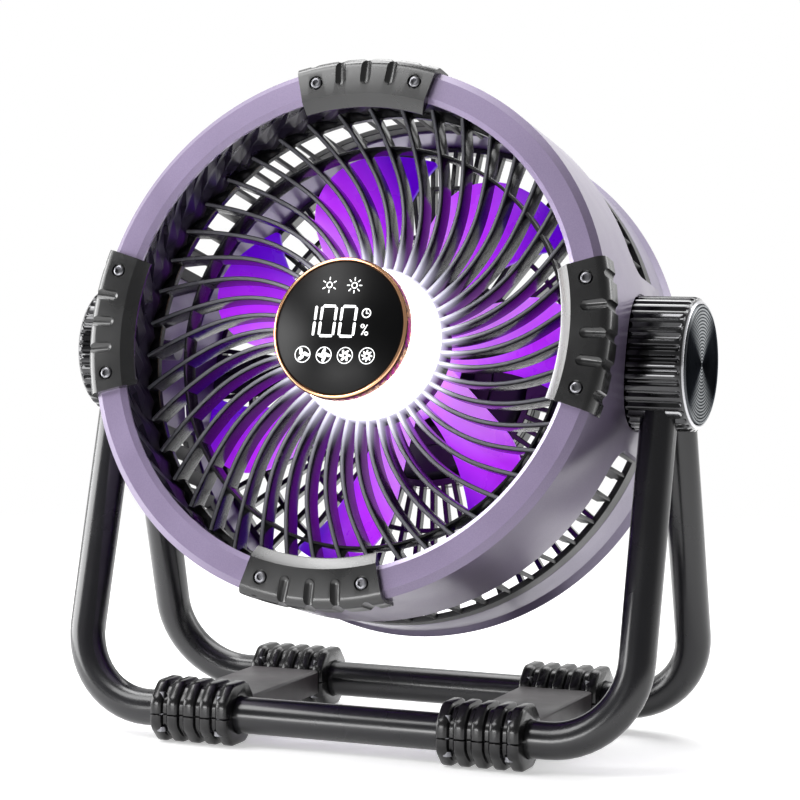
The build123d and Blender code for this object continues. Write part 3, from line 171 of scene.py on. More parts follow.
def turn(shape, rim, centre, angle, steps):
    """Swings an open rim of edges round a line along z and returns the rim at the end."""
    swung = bmesh.ops.spin(
        shape, geom=rim + ends(rim), cent=centre, axis=(0, 0, 1), angle=radians(angle), steps=steps
    )
    return among(swung["geom_last"], bmesh.types.BMEdge)


def object_of(name, shape):
    """An object that holds a finished shape, which is used up."""
    mesh = bpy.data.meshes.new(name)
    shape.to_mesh(mesh)
    shape.free()
    made = bpy.data.objects.new(name, mesh)
    bpy.context.scene.collection.objects.link(made)
    return made


def piece(name, shape, finish, body, node, rounding=0.0, segments=2, sharp=35):
    """Sets a shape in its place as a piece that rides on a body and stands for a CAD node.
    A rounding in millimetres breaks its sharp edges."""
    bmesh.ops.remove_doubles(shape, verts=shape.verts, dist=0.002)
    bmesh.ops.recalc_face_normals(shape, faces=shape.faces)
    made = object_of(name, shape)
    made.data.transform(stand_place if body == "stand" else head_place)
    made.data.shade_smooth()
    made.data.materials.append(finish)
    if rounding:
        bevel = made.modifiers.new("broken edges", "BEVEL")
        bevel.width = rounding * MM
        bevel.segments = segments
        bevel.limit_method = "ANGLE"
        bevel.angle_limit = radians(sharp)
        bevel.harden_normals = True
    else:
        made.data.set_sharp_from_angle(angle=radians(sharp))
    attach(made, body)
    if node:
        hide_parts(node)


def give(finish, *nodes):
    """Gives CAD nodes that are shown as they are their finish."""
    for node in nodes:
        for holder in frame["nodes"][node].material_slots:
            holder.material = finish


# gloss black stoving paint: near black, wet looking, with a faint orange peel
tube_paint = new_finish(
    "gloss_black_stoving_paint", "#0e0e13", Roughness=0.26, Specular_IOR_Level=0.5, Coat_Weight=0.25,
    Coat_Roughness=0.16,
)
grain(tube_paint, size_mm=2.4, height_mm=0.01, low=0.23, high=0.29)

leg_lean = atan2(BAR_Y - LEG_Y_AT_PIVOT, pivot_height - BAR_HEIGHT)
leg_top = TUBE_TOP_DROP / cos(leg_lean)
leg_length = (pivot_height - BAR_HEIGHT) / cos(leg_lean)
for name, end in (("front", -1), ("rear", 1)):
    shape = bmesh.new()
    bmesh.ops.create_circle(
        shape, segments=TUBE_SIDES, radius=TUBE_RADIUS,
        matrix=Matrix.Translation((LEG_X, -leg_top, 0)) @ Matrix.Rotation(pi / 2, 4, "X"),
    )
    rim = pull(shape, shape.edges[:], (0, leg_top - leg_length + BEND_RADIUS, 0))
    for side, run in (
        (1, (-2 * (LEG_X - BEND_RADIUS), 0, 0)), (-1, (0, leg_length - leg_top - BEND_RADIUS, 0))
    ):
        corner = (side * (LEG_X - BEND_RADIUS), BEND_RADIUS - leg_length, 0)
        rim = pull(shape, turn(shape, rim, corner, -90, BEND_STEPS), run)
    bmesh.ops.recalc_face_normals(shape, faces=shape.faces)
    bmesh.ops.solidify(shape, geom=shape.faces[:], thickness=TUBE_WALL)
    roll(shape, pi / 2, "X")
    roll(shape, end * leg_lean, "X")
    move(shape, (0, end * LEG_Y_AT_PIVOT, pivot_height))
    piece(name + "_tube", shape, tube_paint, "stand", name + "_stand_tube")

# ---- feet
# Four feet of hard black rubber, each two halves moulded with five rounded ribs and closed
# round the ground bar. The moulded skin is glossy and slightly uneven.
FOOT_INNER_X = 51.1
FOOT_LENGTH = 42.7
FOOT_HALF_WIDTH = 16.0
FOOT_TOP = 29.5
FOOT_CHAMFER = 8.0
FOOT_ROUNDING = 2.4
FOOT_RIB_COUNT = 5
FOOT_RIB_PITCH = 8.54
FOOT_SPLIT_GAP = 0.5
# distance from a rib's middle, and how far the skin is drawn in there
RIB_CREST = ((-2.9, 1.5), (-2.4, 0.5), (-1.7, 0.1), (1.7, 0.1), (2.4, 0.5), (2.9, 1.5))
GROOVE_FLOOR = ((3.3, 2.4), (FOOT_RIB_PITCH - 3.3, 2.4))

foot_rubber = new_finish(
    "moulded_black_rubber", "#0c0b0d", Roughness=0.24, Specular_IOR_Level=0.4, Coat_Weight=0.15,
    Coat_Roughness=0.12,
)
shade_over(foot_rubber, "#100f11", "#09080a", size_mm=14)
grain(foot_rubber, size_mm=0.9, height_mm=0.015, low=0.2, high=0.28)


def carved(shape, cutter, operation="DIFFERENCE"):
    """One shape with another cut out of it, or joined to it. Both are used up."""
    bmesh.ops.recalc_face_normals(shape, faces=shape.faces)
    bmesh.ops.recalc_face_normals(cutter, faces=cutter.faces)
    target, tool = object_of("work", shape), object_of("cutter", cutter)
    cut = target.modifiers.new("cut", "BOOLEAN")
    cut.operation = operation
    cut.solver = "EXACT"
    cut.object = tool
    bpy.context.view_layer.update()
    result = bmesh.new()
    result.from_object(target, bpy.context.evaluated_depsgraph_get())
    for done in (target, tool):
        mesh = done.data
        bpy.data.objects.remove(done)
        bpy.data.meshes.remove(mesh)
    bmesh.ops.remove_doubles(result, verts=result.verts, dist=0.001)
    return result


def round_block(radius, length, segments, place, shape=None):
    """A cylinder along z, put in its place in a new shape or in one that is there."""
    shape = bmesh.new() if shape is None else shape
    bmesh.ops.create_cone(
        shape, cap_ends=True, segments=segments, radius1=radius, radius2=radius, depth=length, matrix=place
    )
    return shape


def disc_across(radius, start, end, segments=96, height=0.0):
    """A round block whose axis lies along x, from one x to another."""
    place = Matrix.Translation(((start + end) / 2, 0, height)) @ Matrix.Rotation(pi / 2, 4, "Y")
    return round_block(radius, abs(end - start), segments, place)


def resize(shape, factors, verts=None):
    """Stretches or mirrors a shape, or some of its vertices."""
    bmesh.ops.scale(shape, vec=factors, verts=shape.verts if verts is None else verts)


def close(shape):
    """Closes every open rim of a shape with a face."""
    bmesh.ops.holes_fill(shape, edges=shape.edges)


def whole(shape):
    """All the parts of a shape."""
    return shape.verts[:] + shape.edges[:] + shape.faces[:]


def ribbed_foot():
    """The whole foot round its bar, with its inner end at x = 0 and its middle at y = 0."""
    shape = bmesh.new()
    corner, half, middle = FOOT_CHAMFER, FOOT_HALF_WIDTH, FOOT_TOP / 2
    outline = (
        (corner - half, 0), (half - corner, 0), (half, corner), (half, FOOT_TOP - corner),
        (half - corner, FOOT_TOP), (corner - half, FOOT_TOP), (-half, FOOT_TOP - corner), (-half, corner),
    )
    verts = [shape.verts.new((0, y, z)) for y, z in outline]
    shape.faces.new(verts)
    bmesh.ops.bevel(
        shape, geom=verts, offset=FOOT_ROUNDING, segments=3, profile=0.5, affect="VERTICES", material=-1
    )
    stations = []
    for rib in range(FOOT_RIB_COUNT):
        crest = FOOT_LENGTH / 2 + (rib - (FOOT_RIB_COUNT - 1) / 2) * FOOT_RIB_PITCH
        last = rib == FOOT_RIB_COUNT - 1
        stations += [(crest + x, inset) for x, inset in RIB_CREST + (() if last else GROOVE_FLOOR)]
    rim = shape.edges[:]
    here, drawn_in = 0.0, 0.0
    for index, (x, inset) in enumerate(stations):
        rim = pull(shape, rim) if index else rim
        move(shape, (x - here, 0, 0), ends(rim))
        fit = (1, (half - inset) / (half - drawn_in), (middle - inset) / (middle - drawn_in))
        bmesh.ops.scale(shape, vec=fit, verts=ends(rim), space=Matrix.Translation((0, 0, -middle)))
        here, drawn_in = x, inset
    close(shape)
    return shape


bore = disc_across(TUBE_RADIUS + 0.3, -FOOT_LENGTH / 2, FOOT_LENGTH * 1.5, TUBE_SIDES, BAR_HEIGHT)
foot_pattern = carved(ribbed_foot(), bore)
for end_name, end in (("front", -1), ("rear", 1)):
    for side_name, side in (("right", 1), ("left", -1)):
        for half_name, over in (("sole", -1), ("cap", 1)):
            shape = foot_pattern.copy()
            bmesh.ops.bisect_plane(
                shape, geom=whole(shape), plane_co=(0, 0, BAR_HEIGHT + over * FOOT_SPLIT_GAP / 2),
                plane_no=(0, 0, 1), clear_outer=over < 0, clear_inner=over > 0,
            )
            close(shape)
            move(shape, (FOOT_INNER_X, BAR_Y, 0))
            resize(shape, (side, end, 1))
            name = f"{end_name}_{side_name}_foot_{half_name}"
            piece(name + "_ribbed", shape, foot_rubber, "stand", name, rounding=0.3, sharp=40)
foot_pattern.free()

# ---- foot screws and cross beams
# Screws of oiled black oxide steel, worn to a grey shine, draw the two halves of each foot
# together from below. Two channels of dark glass-filled nylon tie the front feet to the rear
# feet, satin with a fine spark grain.
BEAM_INNER_X = 54.0
BEAM_WIDTH = 37.0
BEAM_TOP = 20.5
BEAM_BASE = 8.0
BEAM_WALL = 3.0

black_oxide = new_finish("black_oxide_screw_steel", "#77777b", Metallic=1.0, Roughness=0.3)
grain(black_oxide, size_mm=0.5, height_mm=0.01, low=0.28, high=0.42)
give(black_oxide, "foot_screws")

beam_nylon = new_finish("dark_glass_filled_nylon", "#2c2629", Roughness=0.42)
shade_over(beam_nylon, "#332c30", "#241f22", size_mm=18)
grain(beam_nylon, size_mm=0.45, height_mm=0.02, low=0.36, high=0.48)

beam_height = BEAM_TOP - BEAM_BASE
for side, name in ((1, "right_cross_beam"), (-1, "left_cross_beam")):
    shape = bmesh.new()
    bmesh.ops.create_cube(shape, size=1)
    resize(shape, (BEAM_WIDTH, 2 * (BAR_Y - FOOT_HALF_WIDTH), beam_height))
    lowest = min(shape.faces, key=lambda face: face.calc_center_median().z)
    bmesh.ops.inset_individual(shape, faces=[lowest], thickness=BEAM_WALL)
    move(shape, (0, 0, beam_height - BEAM_WALL), lowest.verts[:])
    move(shape, (side * (BEAM_INNER_X + BEAM_WIDTH / 2), 0, (BEAM_TOP + BEAM_BASE) / 2))
    piece(name + "_channel", shape, beam_nylon, "stand", name, rounding=1.4, segments=3)

# ---- hubs
# A hub of black anodised aluminium joins the tops of both tubes on each side. It is cast with
# flutes all round, and its narrow outer bevel was turned and polished after casting.
HUB_RADIUS = 31.2
FLUTE_RADIUS = 29.6
FLUTE_COUNT = 36
HUB_OUTER_X = 155.4
CAP_SEAT_RADIUS = 27.8
CAP_THICKNESS = 2.6
# how far down the flute each of the eight points of one flute's pitch lies
FLUTE_SHARES = (0.06, 0.0, 0.0, 0.06, 0.62, 1.0, 1.0, 0.62)
# how far out each ring of the hub lies, the land's radius there and how deep the flutes are
HUB_RINGS = (
    (124.2, 31.2, 1.0), (150.2, 31.2, 1.0), (151.2, 31.2, 0.95), (152.0, 31.1, 0.85), (152.6, 30.85, 0.6),
    (153.0, 30.5, 0.25), (153.3, 30.1, 0.0), (153.6, 29.8, 0.0), (154.3, 29.2, 0.0), (154.65, 28.7, 0.0),
    (154.7, 28.4, 0.0), (154.6, 28.1, 0.0), (153.0, 28.0, 0.0),
)

hub_aluminium = new_finish(
    "black_anodised_aluminium", "#1d1d20", Metallic=0.85, Roughness=0.18, Coat_Weight=1.0, Coat_Roughness=0.1
)
grain(hub_aluminium, size_mm=0.6, height_mm=0.006, low=0.16, high=0.22)
# the bevel round the cap was turned through the black skin to bright metal
place = add(hub_aluminium, "TexCoord")
parts = add(hub_aluminium, "SeparateXYZ", {"Vector": place.outputs["Object"]})
outward = add(hub_aluminium, "Math", {0: parts.outputs["X"]}, operation="ABSOLUTE")
turned = add(hub_aluminium, "MapRange", {"Value": outward, "From Min": 0.1538, "From Max": 0.1541})
tone_by(hub_aluminium, turned, "#1d1d20", "#c4c4c8")


def draw_through(shape, rim, rings, goes_to):
    """Draws a rim on through rings, where a function says where each vertex goes."""
    for index, ring in enumerate(rings):
        rim = pull(shape, rim) if index else rim
        for vert in ends(rim):
            vert.co = goes_to(vert.co, *ring)
    return rim


def fluted(at, x, land, depth):
    """Where a vertex goes on one ring of the hub."""
    angle = atan2(at.y, at.z)
    points = len(FLUTE_SHARES)
    share = FLUTE_SHARES[round(angle / (2 * pi) * FLUTE_COUNT * points) % points]
    radius = land - depth * share * (HUB_RADIUS - FLUTE_RADIUS)
    return x, radius * sin(angle), radius * cos(angle)


for side, name in ((1, "right_hub"), (-1, "left_hub")):
    shape = bmesh.new()
    bmesh.ops.create_circle(
        shape, segments=FLUTE_COUNT * len(FLUTE_SHARES), radius=1, matrix=Matrix.Rotation(pi / 2, 4, "Y")
    )
    draw_through(shape, shape.edges[:], HUB_RINGS, fluted)
    close(shape)
    resize(shape, (side, 1, 1))
    move(shape, (0, 0, pivot_height))
    piece(name + "_fluted", shape, hub_aluminium, "stand", name, sharp=28)

# ---- hub caps
# A disc of aluminium closes each hub. It is faced on a lathe, so fine rings run round it, and a
# painted highlight lightens it in two fans, inside a thin bright rim.
CAP_RING_PITCH = 1.5
CAP_RING_DEPTH = 0.12
CAP_RIM = 27.2

spun_aluminium_painted_highlight = new_finish(
    "lathe_faced_black_aluminium", "#4a4c4d", Metallic=1.0, Roughness=0.3, Anisotropic=0.5,
    Specular_Tint=linear("#6a6a6c"),
)
grain(spun_aluminium_painted_highlight, size_mm=0.35, height_mm=0.004, low=0.26, high=0.34)


def from_pivot(finish):
    """The way from the pivot to the point that is shaded."""
    place = add(finish, "TexCoord").outputs["Object"]
    return add(finish, "VectorMath", {0: place, 1: pivot}, operation="SUBTRACT")


# the turned rings run round the pivot; a painted highlight lightens them in two fans above and below it
middle = from_pivot(spun_aluminium_painted_highlight)
flat = add(spun_aluminium_painted_highlight, "VectorMath", {0: middle, 1: (0, 1, 1)}, operation="MULTIPLY")
round_pivot = add(spun_aluminium_painted_highlight, "VectorMath", {0: (1, 0, 0), 1: flat}, operation="CROSS_PRODUCT")
feed(spun_aluminium_painted_highlight, "Tangent", round_pivot)
heading = add(spun_aluminium_painted_highlight, "VectorMath", {0: round_pivot}, operation="NORMALIZE")
parts = add(spun_aluminium_painted_highlight, "SeparateXYZ", {"Vector": heading})
fan = add(spun_aluminium_painted_highlight, "Math", {0: parts.outputs["Y"]}, operation="ABSOLUTE")
painted_fan_highlight = add(spun_aluminium_painted_highlight, "MapRange", {
    "Value": fan, "From Min": 0.55, "From Max": 1.0,
}, interpolation_type="SMOOTHSTEP")
out = add(spun_aluminium_painted_highlight, "VectorMath", {0: flat}, operation="LENGTH")
ring_phase = add(spun_aluminium_painted_highlight, "Math", {0: out, 1: 2 * pi / (CAP_RING_PITCH * MM)}, operation="MULTIPLY")
ring_wave = add(spun_aluminium_painted_highlight, "Math", {0: ring_phase}, operation="COSINE")
ring_share = add(spun_aluminium_painted_highlight, "MapRange", {
    "Value": ring_wave, "From Min": -0.6, "From Max": 0.6, "To Min": 0.15, "To Max": 1.0,
})
bright = add(spun_aluminium_painted_highlight, "Math", {0: painted_fan_highlight, 1: ring_share}, operation="MULTIPLY")
tone_by(spun_aluminium_painted_highlight, bright, "#484a4d", "#c4c7c8")


def spun(points, steps, shape=None, axis=(0, 0, 1), closed=True, arc=360.0):
    """Turns an outline of (radius, depth) points round the z axis, or of (x, radius) points
    round the x axis, in a new shape or in one that is there. A closed outline makes a ring."""
    shape = bmesh.new() if shape is None else shape
    verts = [shape.verts.new((a, 0, b)) for a, b in points]
    pairs = list(zip(verts, verts[1:])) + ([(verts[-1], verts[0])] if closed else [])
    edges = [shape.edges.new(pair) for pair in pairs]
    full = arc == 360.0
    bmesh.ops.spin(
        shape, geom=verts + edges, cent=(0, 0, 0), axis=axis, angle=radians(arc), steps=steps,
        use_merge=full,
    )
    if full:
        bmesh.ops.remove_doubles(shape, verts=shape.verts, dist=0.002)
    return shape


outline = [
    (HUB_OUTER_X - CAP_THICKNESS, 0), (HUB_OUTER_X - CAP_THICKNESS, CAP_SEAT_RADIUS),
    (HUB_OUTER_X - 0.5, CAP_SEAT_RADIUS), (HUB_OUTER_X, CAP_RIM + 0.1), (HUB_OUTER_X, CAP_RIM - 0.4),
]
for index in range(int((CAP_RIM - 1.0) / (CAP_RING_PITCH / 2))):
    dip = CAP_RING_DEPTH * (1 + index % 2)
    outline.append((HUB_OUTER_X - dip, CAP_RIM - 0.9 - index * CAP_RING_PITCH / 2))
outline.append((HUB_OUTER_X - CAP_RING_DEPTH, 0))
for side, name in ((1, "right_hub_cap"), (-1, "left_hub_cap")):
    shape = spun(outline, 120, axis=(1, 0, 0), closed=False)
    resize(shape, (side, 1, 1))
    move(shape, (0, 0, pivot_height))
    piece(name + "_faced", shape, spun_aluminium_painted_highlight, "stand", name, sharp=50)

# ---- pivot pins and friction washers
# Turned steel pins, pressed into the hubs, carry the head. A fibre washer beside each seat
# holds it where it is tilted.
machined_steel = new_finish("turned_steel", "#b4b4b6", Metallic=1.0, Roughness=0.3)
grain(machined_steel, size_mm=0.4, height_mm=0.01, low=0.24, high=0.36)
give(machined_steel, "right_pivot_pin", "left_pivot_pin")

washer_fibre = new_finish("pressed_friction_fibre", "#7b7466", Roughness=0.85)
shade_over(washer_fibre, "#8a8272", "#665f53", size_mm=1.6)
grain(washer_fibre, size_mm=0.6, height_mm=0.05)
give(washer_fibre, "right_friction_washer", "left_friction_washer")

# ---- drum shell
# The front shell is moulded in one piece: a flat rim between two crisp chamfers, a flared
# wall, and a lobe on each side with the pivot's seat. It is sprayed in a satin lilac metallic.
DRUM_FACE = 62.3
FACE_INNER_RADIUS = 114.9
FACE_OUTER_RADIUS = 124.5
RIM_RADIUS = 127.8
DRUM_RADIUS = 129.0
DRUM_WALL = 3.0
MOUTH_RADIUS = 112.5
VENT_FRONT = 9.0
VENT_REAR = -34.0
LOBE_FRONT_HALF = 41.0
LOBE_REAR_HALF = 42.0
LOBE_ROUNDING = 12.0
SEAT_RADIUS = 32.0
SEAT_X = 123.5
SEAT_CUT_END = 134.0
BOSS_INNER_X = 121.3
BOSS_OUTER_X = 124.0
BOSS_RADIUS = 35.0
PIN_BORE = 5.2
# how far out the shapes reach that cut through the drum
CUT_REACH = 140.0

lilac_paint = new_finish(
    "satin_lilac_metallic_paint", "#897b9a", Metallic=0.3, Roughness=0.38, Coat_Weight=0.6,
    Coat_Roughness=0.16,
)
# metal flakes of a few hundredths of a millimetre, drawn at 0.5 mm so that they show
shade_over(lilac_paint, "#8c7e9d", "#857796", size_mm=0.5, detail=2.0)
grain(lilac_paint, size_mm=1.8, height_mm=0.012, low=0.32, high=0.42)


def plate(outline, low, high):
    """A block on an outline of (depth, height) points, from one x to another."""
    shape = bmesh.new()
    face = shape.faces.new([shape.verts.new((low, v, d)) for d, v in outline])
    drawn = bmesh.ops.extrude_face_region(shape, geom=[face])["geom"]
    move(shape, (high - low, 0, 0), among(drawn, bmesh.types.BMVert))
    return shape


shape = spun((
    (FACE_INNER_RADIUS, DRUM_FACE), (FACE_OUTER_RADIUS, DRUM_FACE), (RIM_RADIUS, DRUM_FACE - 2.9),
    (DRUM_RADIUS, VENT_FRONT), (DRUM_RADIUS, VENT_REAR + 3), (DRUM_RADIUS - 1, VENT_REAR),
    (DRUM_RADIUS - DRUM_WALL, VENT_REAR), (DRUM_RADIUS - DRUM_WALL, VENT_FRONT),
    (RIM_RADIUS - DRUM_WALL, DRUM_FACE - 5.3), (MOUTH_RADIUS + 0.7, DRUM_FACE - 5.3),
    (MOUTH_RADIUS, DRUM_FACE - 2.5),
), 192)
slope = (LOBE_FRONT_HALF - LOBE_REAR_HALF) / (VENT_FRONT - VENT_REAR)
for hand in (1, -1):
    window = plate((
        (VENT_FRONT, LOBE_FRONT_HALF), (VENT_REAR - 6, LOBE_REAR_HALF - 6 * slope),
        (VENT_REAR - 6, CUT_REACH), (VENT_FRONT, CUT_REACH),
    ), -CUT_REACH, CUT_REACH)
    corner = [
        edge for edge in window.edges
        if all(vert.co.z == VENT_FRONT and vert.co.y == LOBE_FRONT_HALF for vert in edge.verts)
    ]
    bmesh.ops.bevel(
        window, geom=corner, offset=LOBE_ROUNDING, segments=8, profile=0.5, affect="EDGES", material=-1
    )
    resize(window, (1, hand, 1))
    shape = carved(shape, window)
for side in (1, -1):
    boss = disc_across(BOSS_RADIUS, side * BOSS_INNER_X, side * BOSS_OUTER_X)
    bmesh.ops.bisect_plane(
        boss, geom=whole(boss), plane_co=(0, 0, VENT_REAR), plane_no=(0, 0, -1), clear_outer=True
    )
    close(boss)
    shape = carved(shape, boss, "UNION")
    shape = carved(shape, disc_across(SEAT_RADIUS, side * SEAT_X, side * SEAT_CUT_END))
shape = carved(shape, disc_across(PIN_BORE, -CUT_REACH, CUT_REACH, 32))
piece(
    "drum_shell_painted", shape, lilac_paint, "head", "drum_shell",
    rounding=0.35, sharp=25,
)

# ---- rear ring
# The ring at the back of the drum is moulded apart, flared behind a shallow crease, and
# sprayed a slightly darker violet than the shell.
dark_violet_paint = new_finish(
    "satin_dark_violet_metallic_paint", "#7d7092", Metallic=0.35, Roughness=0.38, Coat_Weight=0.5,
    Coat_Roughness=0.2,
)
shade_over(dark_violet_paint, "#807395", "#796c8e", size_mm=0.5, detail=2.0)
grain(dark_violet_paint, size_mm=1.8, height_mm=0.012, low=0.34, high=0.44)

RING_INNER = 121.8
REAR_RING_BACK = -64.5
shape = spun((
    (RING_INNER, VENT_REAR), (125.7, VENT_REAR), (126.0, -54), (128.0, -61), (128.0, -61.5),
    (126.0, REAR_RING_BACK), (RING_INNER, REAR_RING_BACK),
), 192)
piece(
    "rear_ring_painted", shape, dark_violet_paint, "head", "rear_ring",
    rounding=0.35, sharp=8,
)

# ---- vent bands
# Two bands of black ABS with slanted louvres close the drum wall above and below the pivots.
BAND_OUTER = 125.7
BAND_INNER = 122.8
BAND_FRONT = 14.0
BAND_ARC = 145.0
WINDOW_ARC = 140.0
WINDOW_REAR = -25.0
WINDOW_FRONT = 7.0
LOUVRE_COUNT = 23
LOUVRE_PITCH = 6.0
LOUVRE_SLANT = 32.0
LOUVRE_WIDTH = 7.0
LOUVRE_THICKNESS = 1.8

black_abs = new_finish("moulded_black_abs", "#121214", Roughness=0.4)
shade_over(black_abs, "#151517", "#0e0e10", size_mm=12)
grain(black_abs, size_mm=0.5, height_mm=0.02, low=0.34, high=0.46)


def arc_block(inner, outer, rear, front, arc):
    """A closed block between two radii and two depths, over an arc whose middle is at the top."""
    shape = spun(((inner, rear), (outer, rear), (outer, front), (inner, front)), 72, arc=arc)
    close(shape)
    roll(shape, radians(90 - arc / 2))
    return shape


def repeat_round(shape, parts, count, pitch):
    """Repeats parts of a shape round the z axis, at a pitch in degrees."""
    bmesh.ops.spin(
        shape, geom=parts, cent=(0, 0, 0), axis=(0, 0, 1), steps=count - 1, use_duplicate=True,
        angle=radians(pitch * (count - 1)),
    )


for name, angle in (("upper_vent_band", 0), ("lower_vent_band", pi)):
    shape = carved(
        arc_block(BAND_INNER, BAND_OUTER, VENT_REAR, BAND_FRONT, BAND_ARC),
        arc_block(BAND_INNER - 1, BAND_OUTER + 1, WINDOW_REAR, WINDOW_FRONT, WINDOW_ARC),
    )
    louvre = bmesh.ops.create_cube(shape, size=1)["verts"]
    resize(shape, (LOUVRE_WIDTH, LOUVRE_THICKNESS, WINDOW_FRONT - WINDOW_REAR + 1), louvre)
    roll(shape, radians(LOUVRE_SLANT), verts=louvre)
    move(shape, (BAND_OUTER - 3.7, 0, (WINDOW_FRONT + WINDOW_REAR) / 2), louvre)
    roll(shape, radians(90 - (LOUVRE_COUNT - 1) / 2 * LOUVRE_PITCH), verts=louvre)
    solid = list({part for vert in louvre for part in [*vert.link_edges, *vert.link_faces]}) + louvre
    repeat_round(shape, solid, LOUVRE_COUNT, LOUVRE_PITCH)
    roll(shape, angle)
    piece(name + "_louvred", shape, black_abs, "head", name, rounding=0.4, sharp=45)

# ---- front grille
# Forty-five swirled ribs run from the lamp's seat to the flange, with a guide ring across
# their backs, moulded as one part in glossy black ABS. Each rib has a rounded nose.
RIB_COUNT = 45
RIB_FRONT = 27.5
RIB_ROOT_RADIUS = 36.0
RIB_PHASE = 3.6
INNER_BEND_RADIUS = 76.0
INNER_BEND_ANGLE = 38.0
OUTER_BEND_RADIUS = 190.0
OUTER_BEND_ANGLE = 11.0
SEAT_OUTER_RADIUS = 37.5
# across the rib and along the fan's axis, round one rib
RIB_OUTLINE = (
    (-1.0, 15.5), (1.0, 15.5), (1.15, 16.2), (1.15, 26.1), (0.95, 26.9), (0.45, 27.4),
    (-0.45, 27.4), (-0.95, 26.9), (-1.15, 26.1), (-1.15, 16.2),
)

gloss_abs = new_finish(
    "gloss_black_abs", "#0d0d10", Roughness=0.18, Coat_Weight=0.3, Coat_Roughness=0.08
)
grain(gloss_abs, size_mm=3.0, height_mm=0.02, low=0.15, high=0.26)

# the ribs' roots are given a painted white glow, as if lit by the lamp, which fades within a few centimetres
rib_abs = new_finish(
    "gloss_black_abs_by_the_lamp", "#121215", Roughness=0.22, Specular_IOR_Level=0.5, Coat_Weight=0.2,
    Coat_Roughness=0.1, Emission_Color=linear("#e9e4ff"),
)
grain(rib_abs, size_mm=3.0, height_mm=0.015, low=0.18, high=0.28)
middle = from_pivot(rib_abs)
along = add(rib_abs, "VectorMath", {0: middle, 1: forward}, operation="DOT_PRODUCT")
lamp_side = add(rib_abs, "VectorMath", {0: middle, 1: forward * 0.04}, operation="SUBTRACT")
reach = add(rib_abs, "VectorMath", {0: lamp_side}, operation="LENGTH")
painted_lamp_glow = add(rib_abs, "MapRange", {
    "Value": reach, "From Min": 0.036, "From Max": 0.057, "To Min": 0.75, "To Max": 0.0,
}, interpolation_type="SMOOTHERSTEP")
edge = add(rib_abs, "MapRange", {"Value": along, "From Min": 0.019, "From Max": 0.0275})
feed(rib_abs, "Emission Strength", add(rib_abs, "Math", {0: painted_lamp_glow, 1: edge}, operation="MULTIPLY"))
# the noses are painted a lighter grey, a painted highlight along each rib's front edge
nose = add(rib_abs, "MapRange", {"Value": along, "From Min": 0.0266, "From Max": 0.0275})
tone_by(rib_abs, nose, "#101013", "#707076")

shape = bmesh.new()
verts = [shape.verts.new((RIB_ROOT_RADIUS, across, d)) for across, d in RIB_OUTLINE]
rim = [shape.edges.new(pair) for pair in zip(verts, verts[1:] + verts[:1])]
rim = turn(shape, rim, (RIB_ROOT_RADIUS, INNER_BEND_RADIUS, 0), INNER_BEND_ANGLE, 14)
bend = radians(INNER_BEND_ANGLE)
knee = Vector((RIB_ROOT_RADIUS + INNER_BEND_RADIUS * sin(bend), INNER_BEND_RADIUS * (1 - cos(bend)), 0))
centre = knee + OUTER_BEND_RADIUS * Vector((-sin(bend), cos(bend), 0))
turn(shape, rim, centre, OUTER_BEND_ANGLE, 8)
close(shape)
roll(shape, radians(RIB_PHASE))
repeat_round(shape, whole(shape), RIB_COUNT, 360 / RIB_COUNT)
spun(((96.0, 15.6), (97.6, 15.6), (97.6, 26.0), (97.3, 26.5), (96.3, 26.5), (96.0, 26.0)), 144, shape)
spun((
    (0, 14.0), (36.9, 14.0), (SEAT_OUTER_RADIUS, 14.6), (SEAT_OUTER_RADIUS, 26.9), (36.9, RIB_FRONT),
    (35.6, RIB_FRONT), (35.1, 27.0), (35.1, 16.5), (0, 16.5),
), 96, shape, closed=False)
spun(((114.0, 16.5), (124.5, 16.5), (124.5, 20.0), (114.4, 20.0), (114.0, 19.6)), 144, shape)
piece("front_grille_swirled", shape, rib_abs, "head", "front_grille", sharp=40)

# ---- skirt
# A funnel of scalloped panels, one for each rib, fills the space behind the rim and leads the
# air off the blades. It is moulded in black ABS, with a violet tint in its colour as a painted reflection of
# the rotor.
SKIRT_OUTER = 124.5
SKIRT_FRONT = 57.0
SKIRT_REAR = 20.0
# depth, the panel's shallow edge and its deep edge there
SKIRT_RINGS = (
    (57.0, 114.2, 113.4), (55.5, 114.6, 113.4), (44.0, 117.4, 114.6), (32.0, 119.6, 116.0),
    (24.0, 120.4, 116.8), (20.1, 120.6, 117.0),
)
PANEL_STEPS = 6

skirt_abs = new_finish(
    "skirt_black_abs", "#1a1523", Roughness=0.3, Coat_Weight=0.3, Coat_Roughness=0.2
)
grain(skirt_abs, size_mm=1.2, height_mm=0.02, low=0.26, high=0.36)

columns = RIB_COUNT * (PANEL_STEPS + 1)


def scalloped(at, d, shallow, deep):
    """Where a vertex goes on one ring of the skirt."""
    column = round(atan2(at.y, at.x) / (2 * pi) * columns) % columns
    panel, step = divmod(column, PANEL_STEPS + 1)
    share = 1 - step / PANEL_STEPS
    angle = 2 * pi * (panel + min(step / PANEL_STEPS, 1) * 0.93) / RIB_COUNT + radians(RIB_PHASE)
    radius = deep + (shallow - deep) * min(share + 0.25 * sin(pi * share), 1)
    return radius * cos(angle), radius * sin(angle), d


shape = bmesh.new()
bmesh.ops.create_circle(shape, segments=columns, radius=1)
rim = pull(shape, draw_through(shape, shape.edges[:], SKIRT_RINGS, scalloped))
for vert in ends(rim):
    flat = Vector((vert.co.x, vert.co.y)).normalized() * (SKIRT_OUTER - 0.1)
    vert.co = (flat.x, flat.y, SKIRT_REAR)
pull(shape, rim, (0, 0, SKIRT_FRONT - SKIRT_REAR))
bmesh.ops.bridge_loops(shape, edges=[edge for edge in shape.edges if edge.is_boundary])
piece("skirt_scalloped", shape, skirt_abs, "head", "skirt", sharp=32)

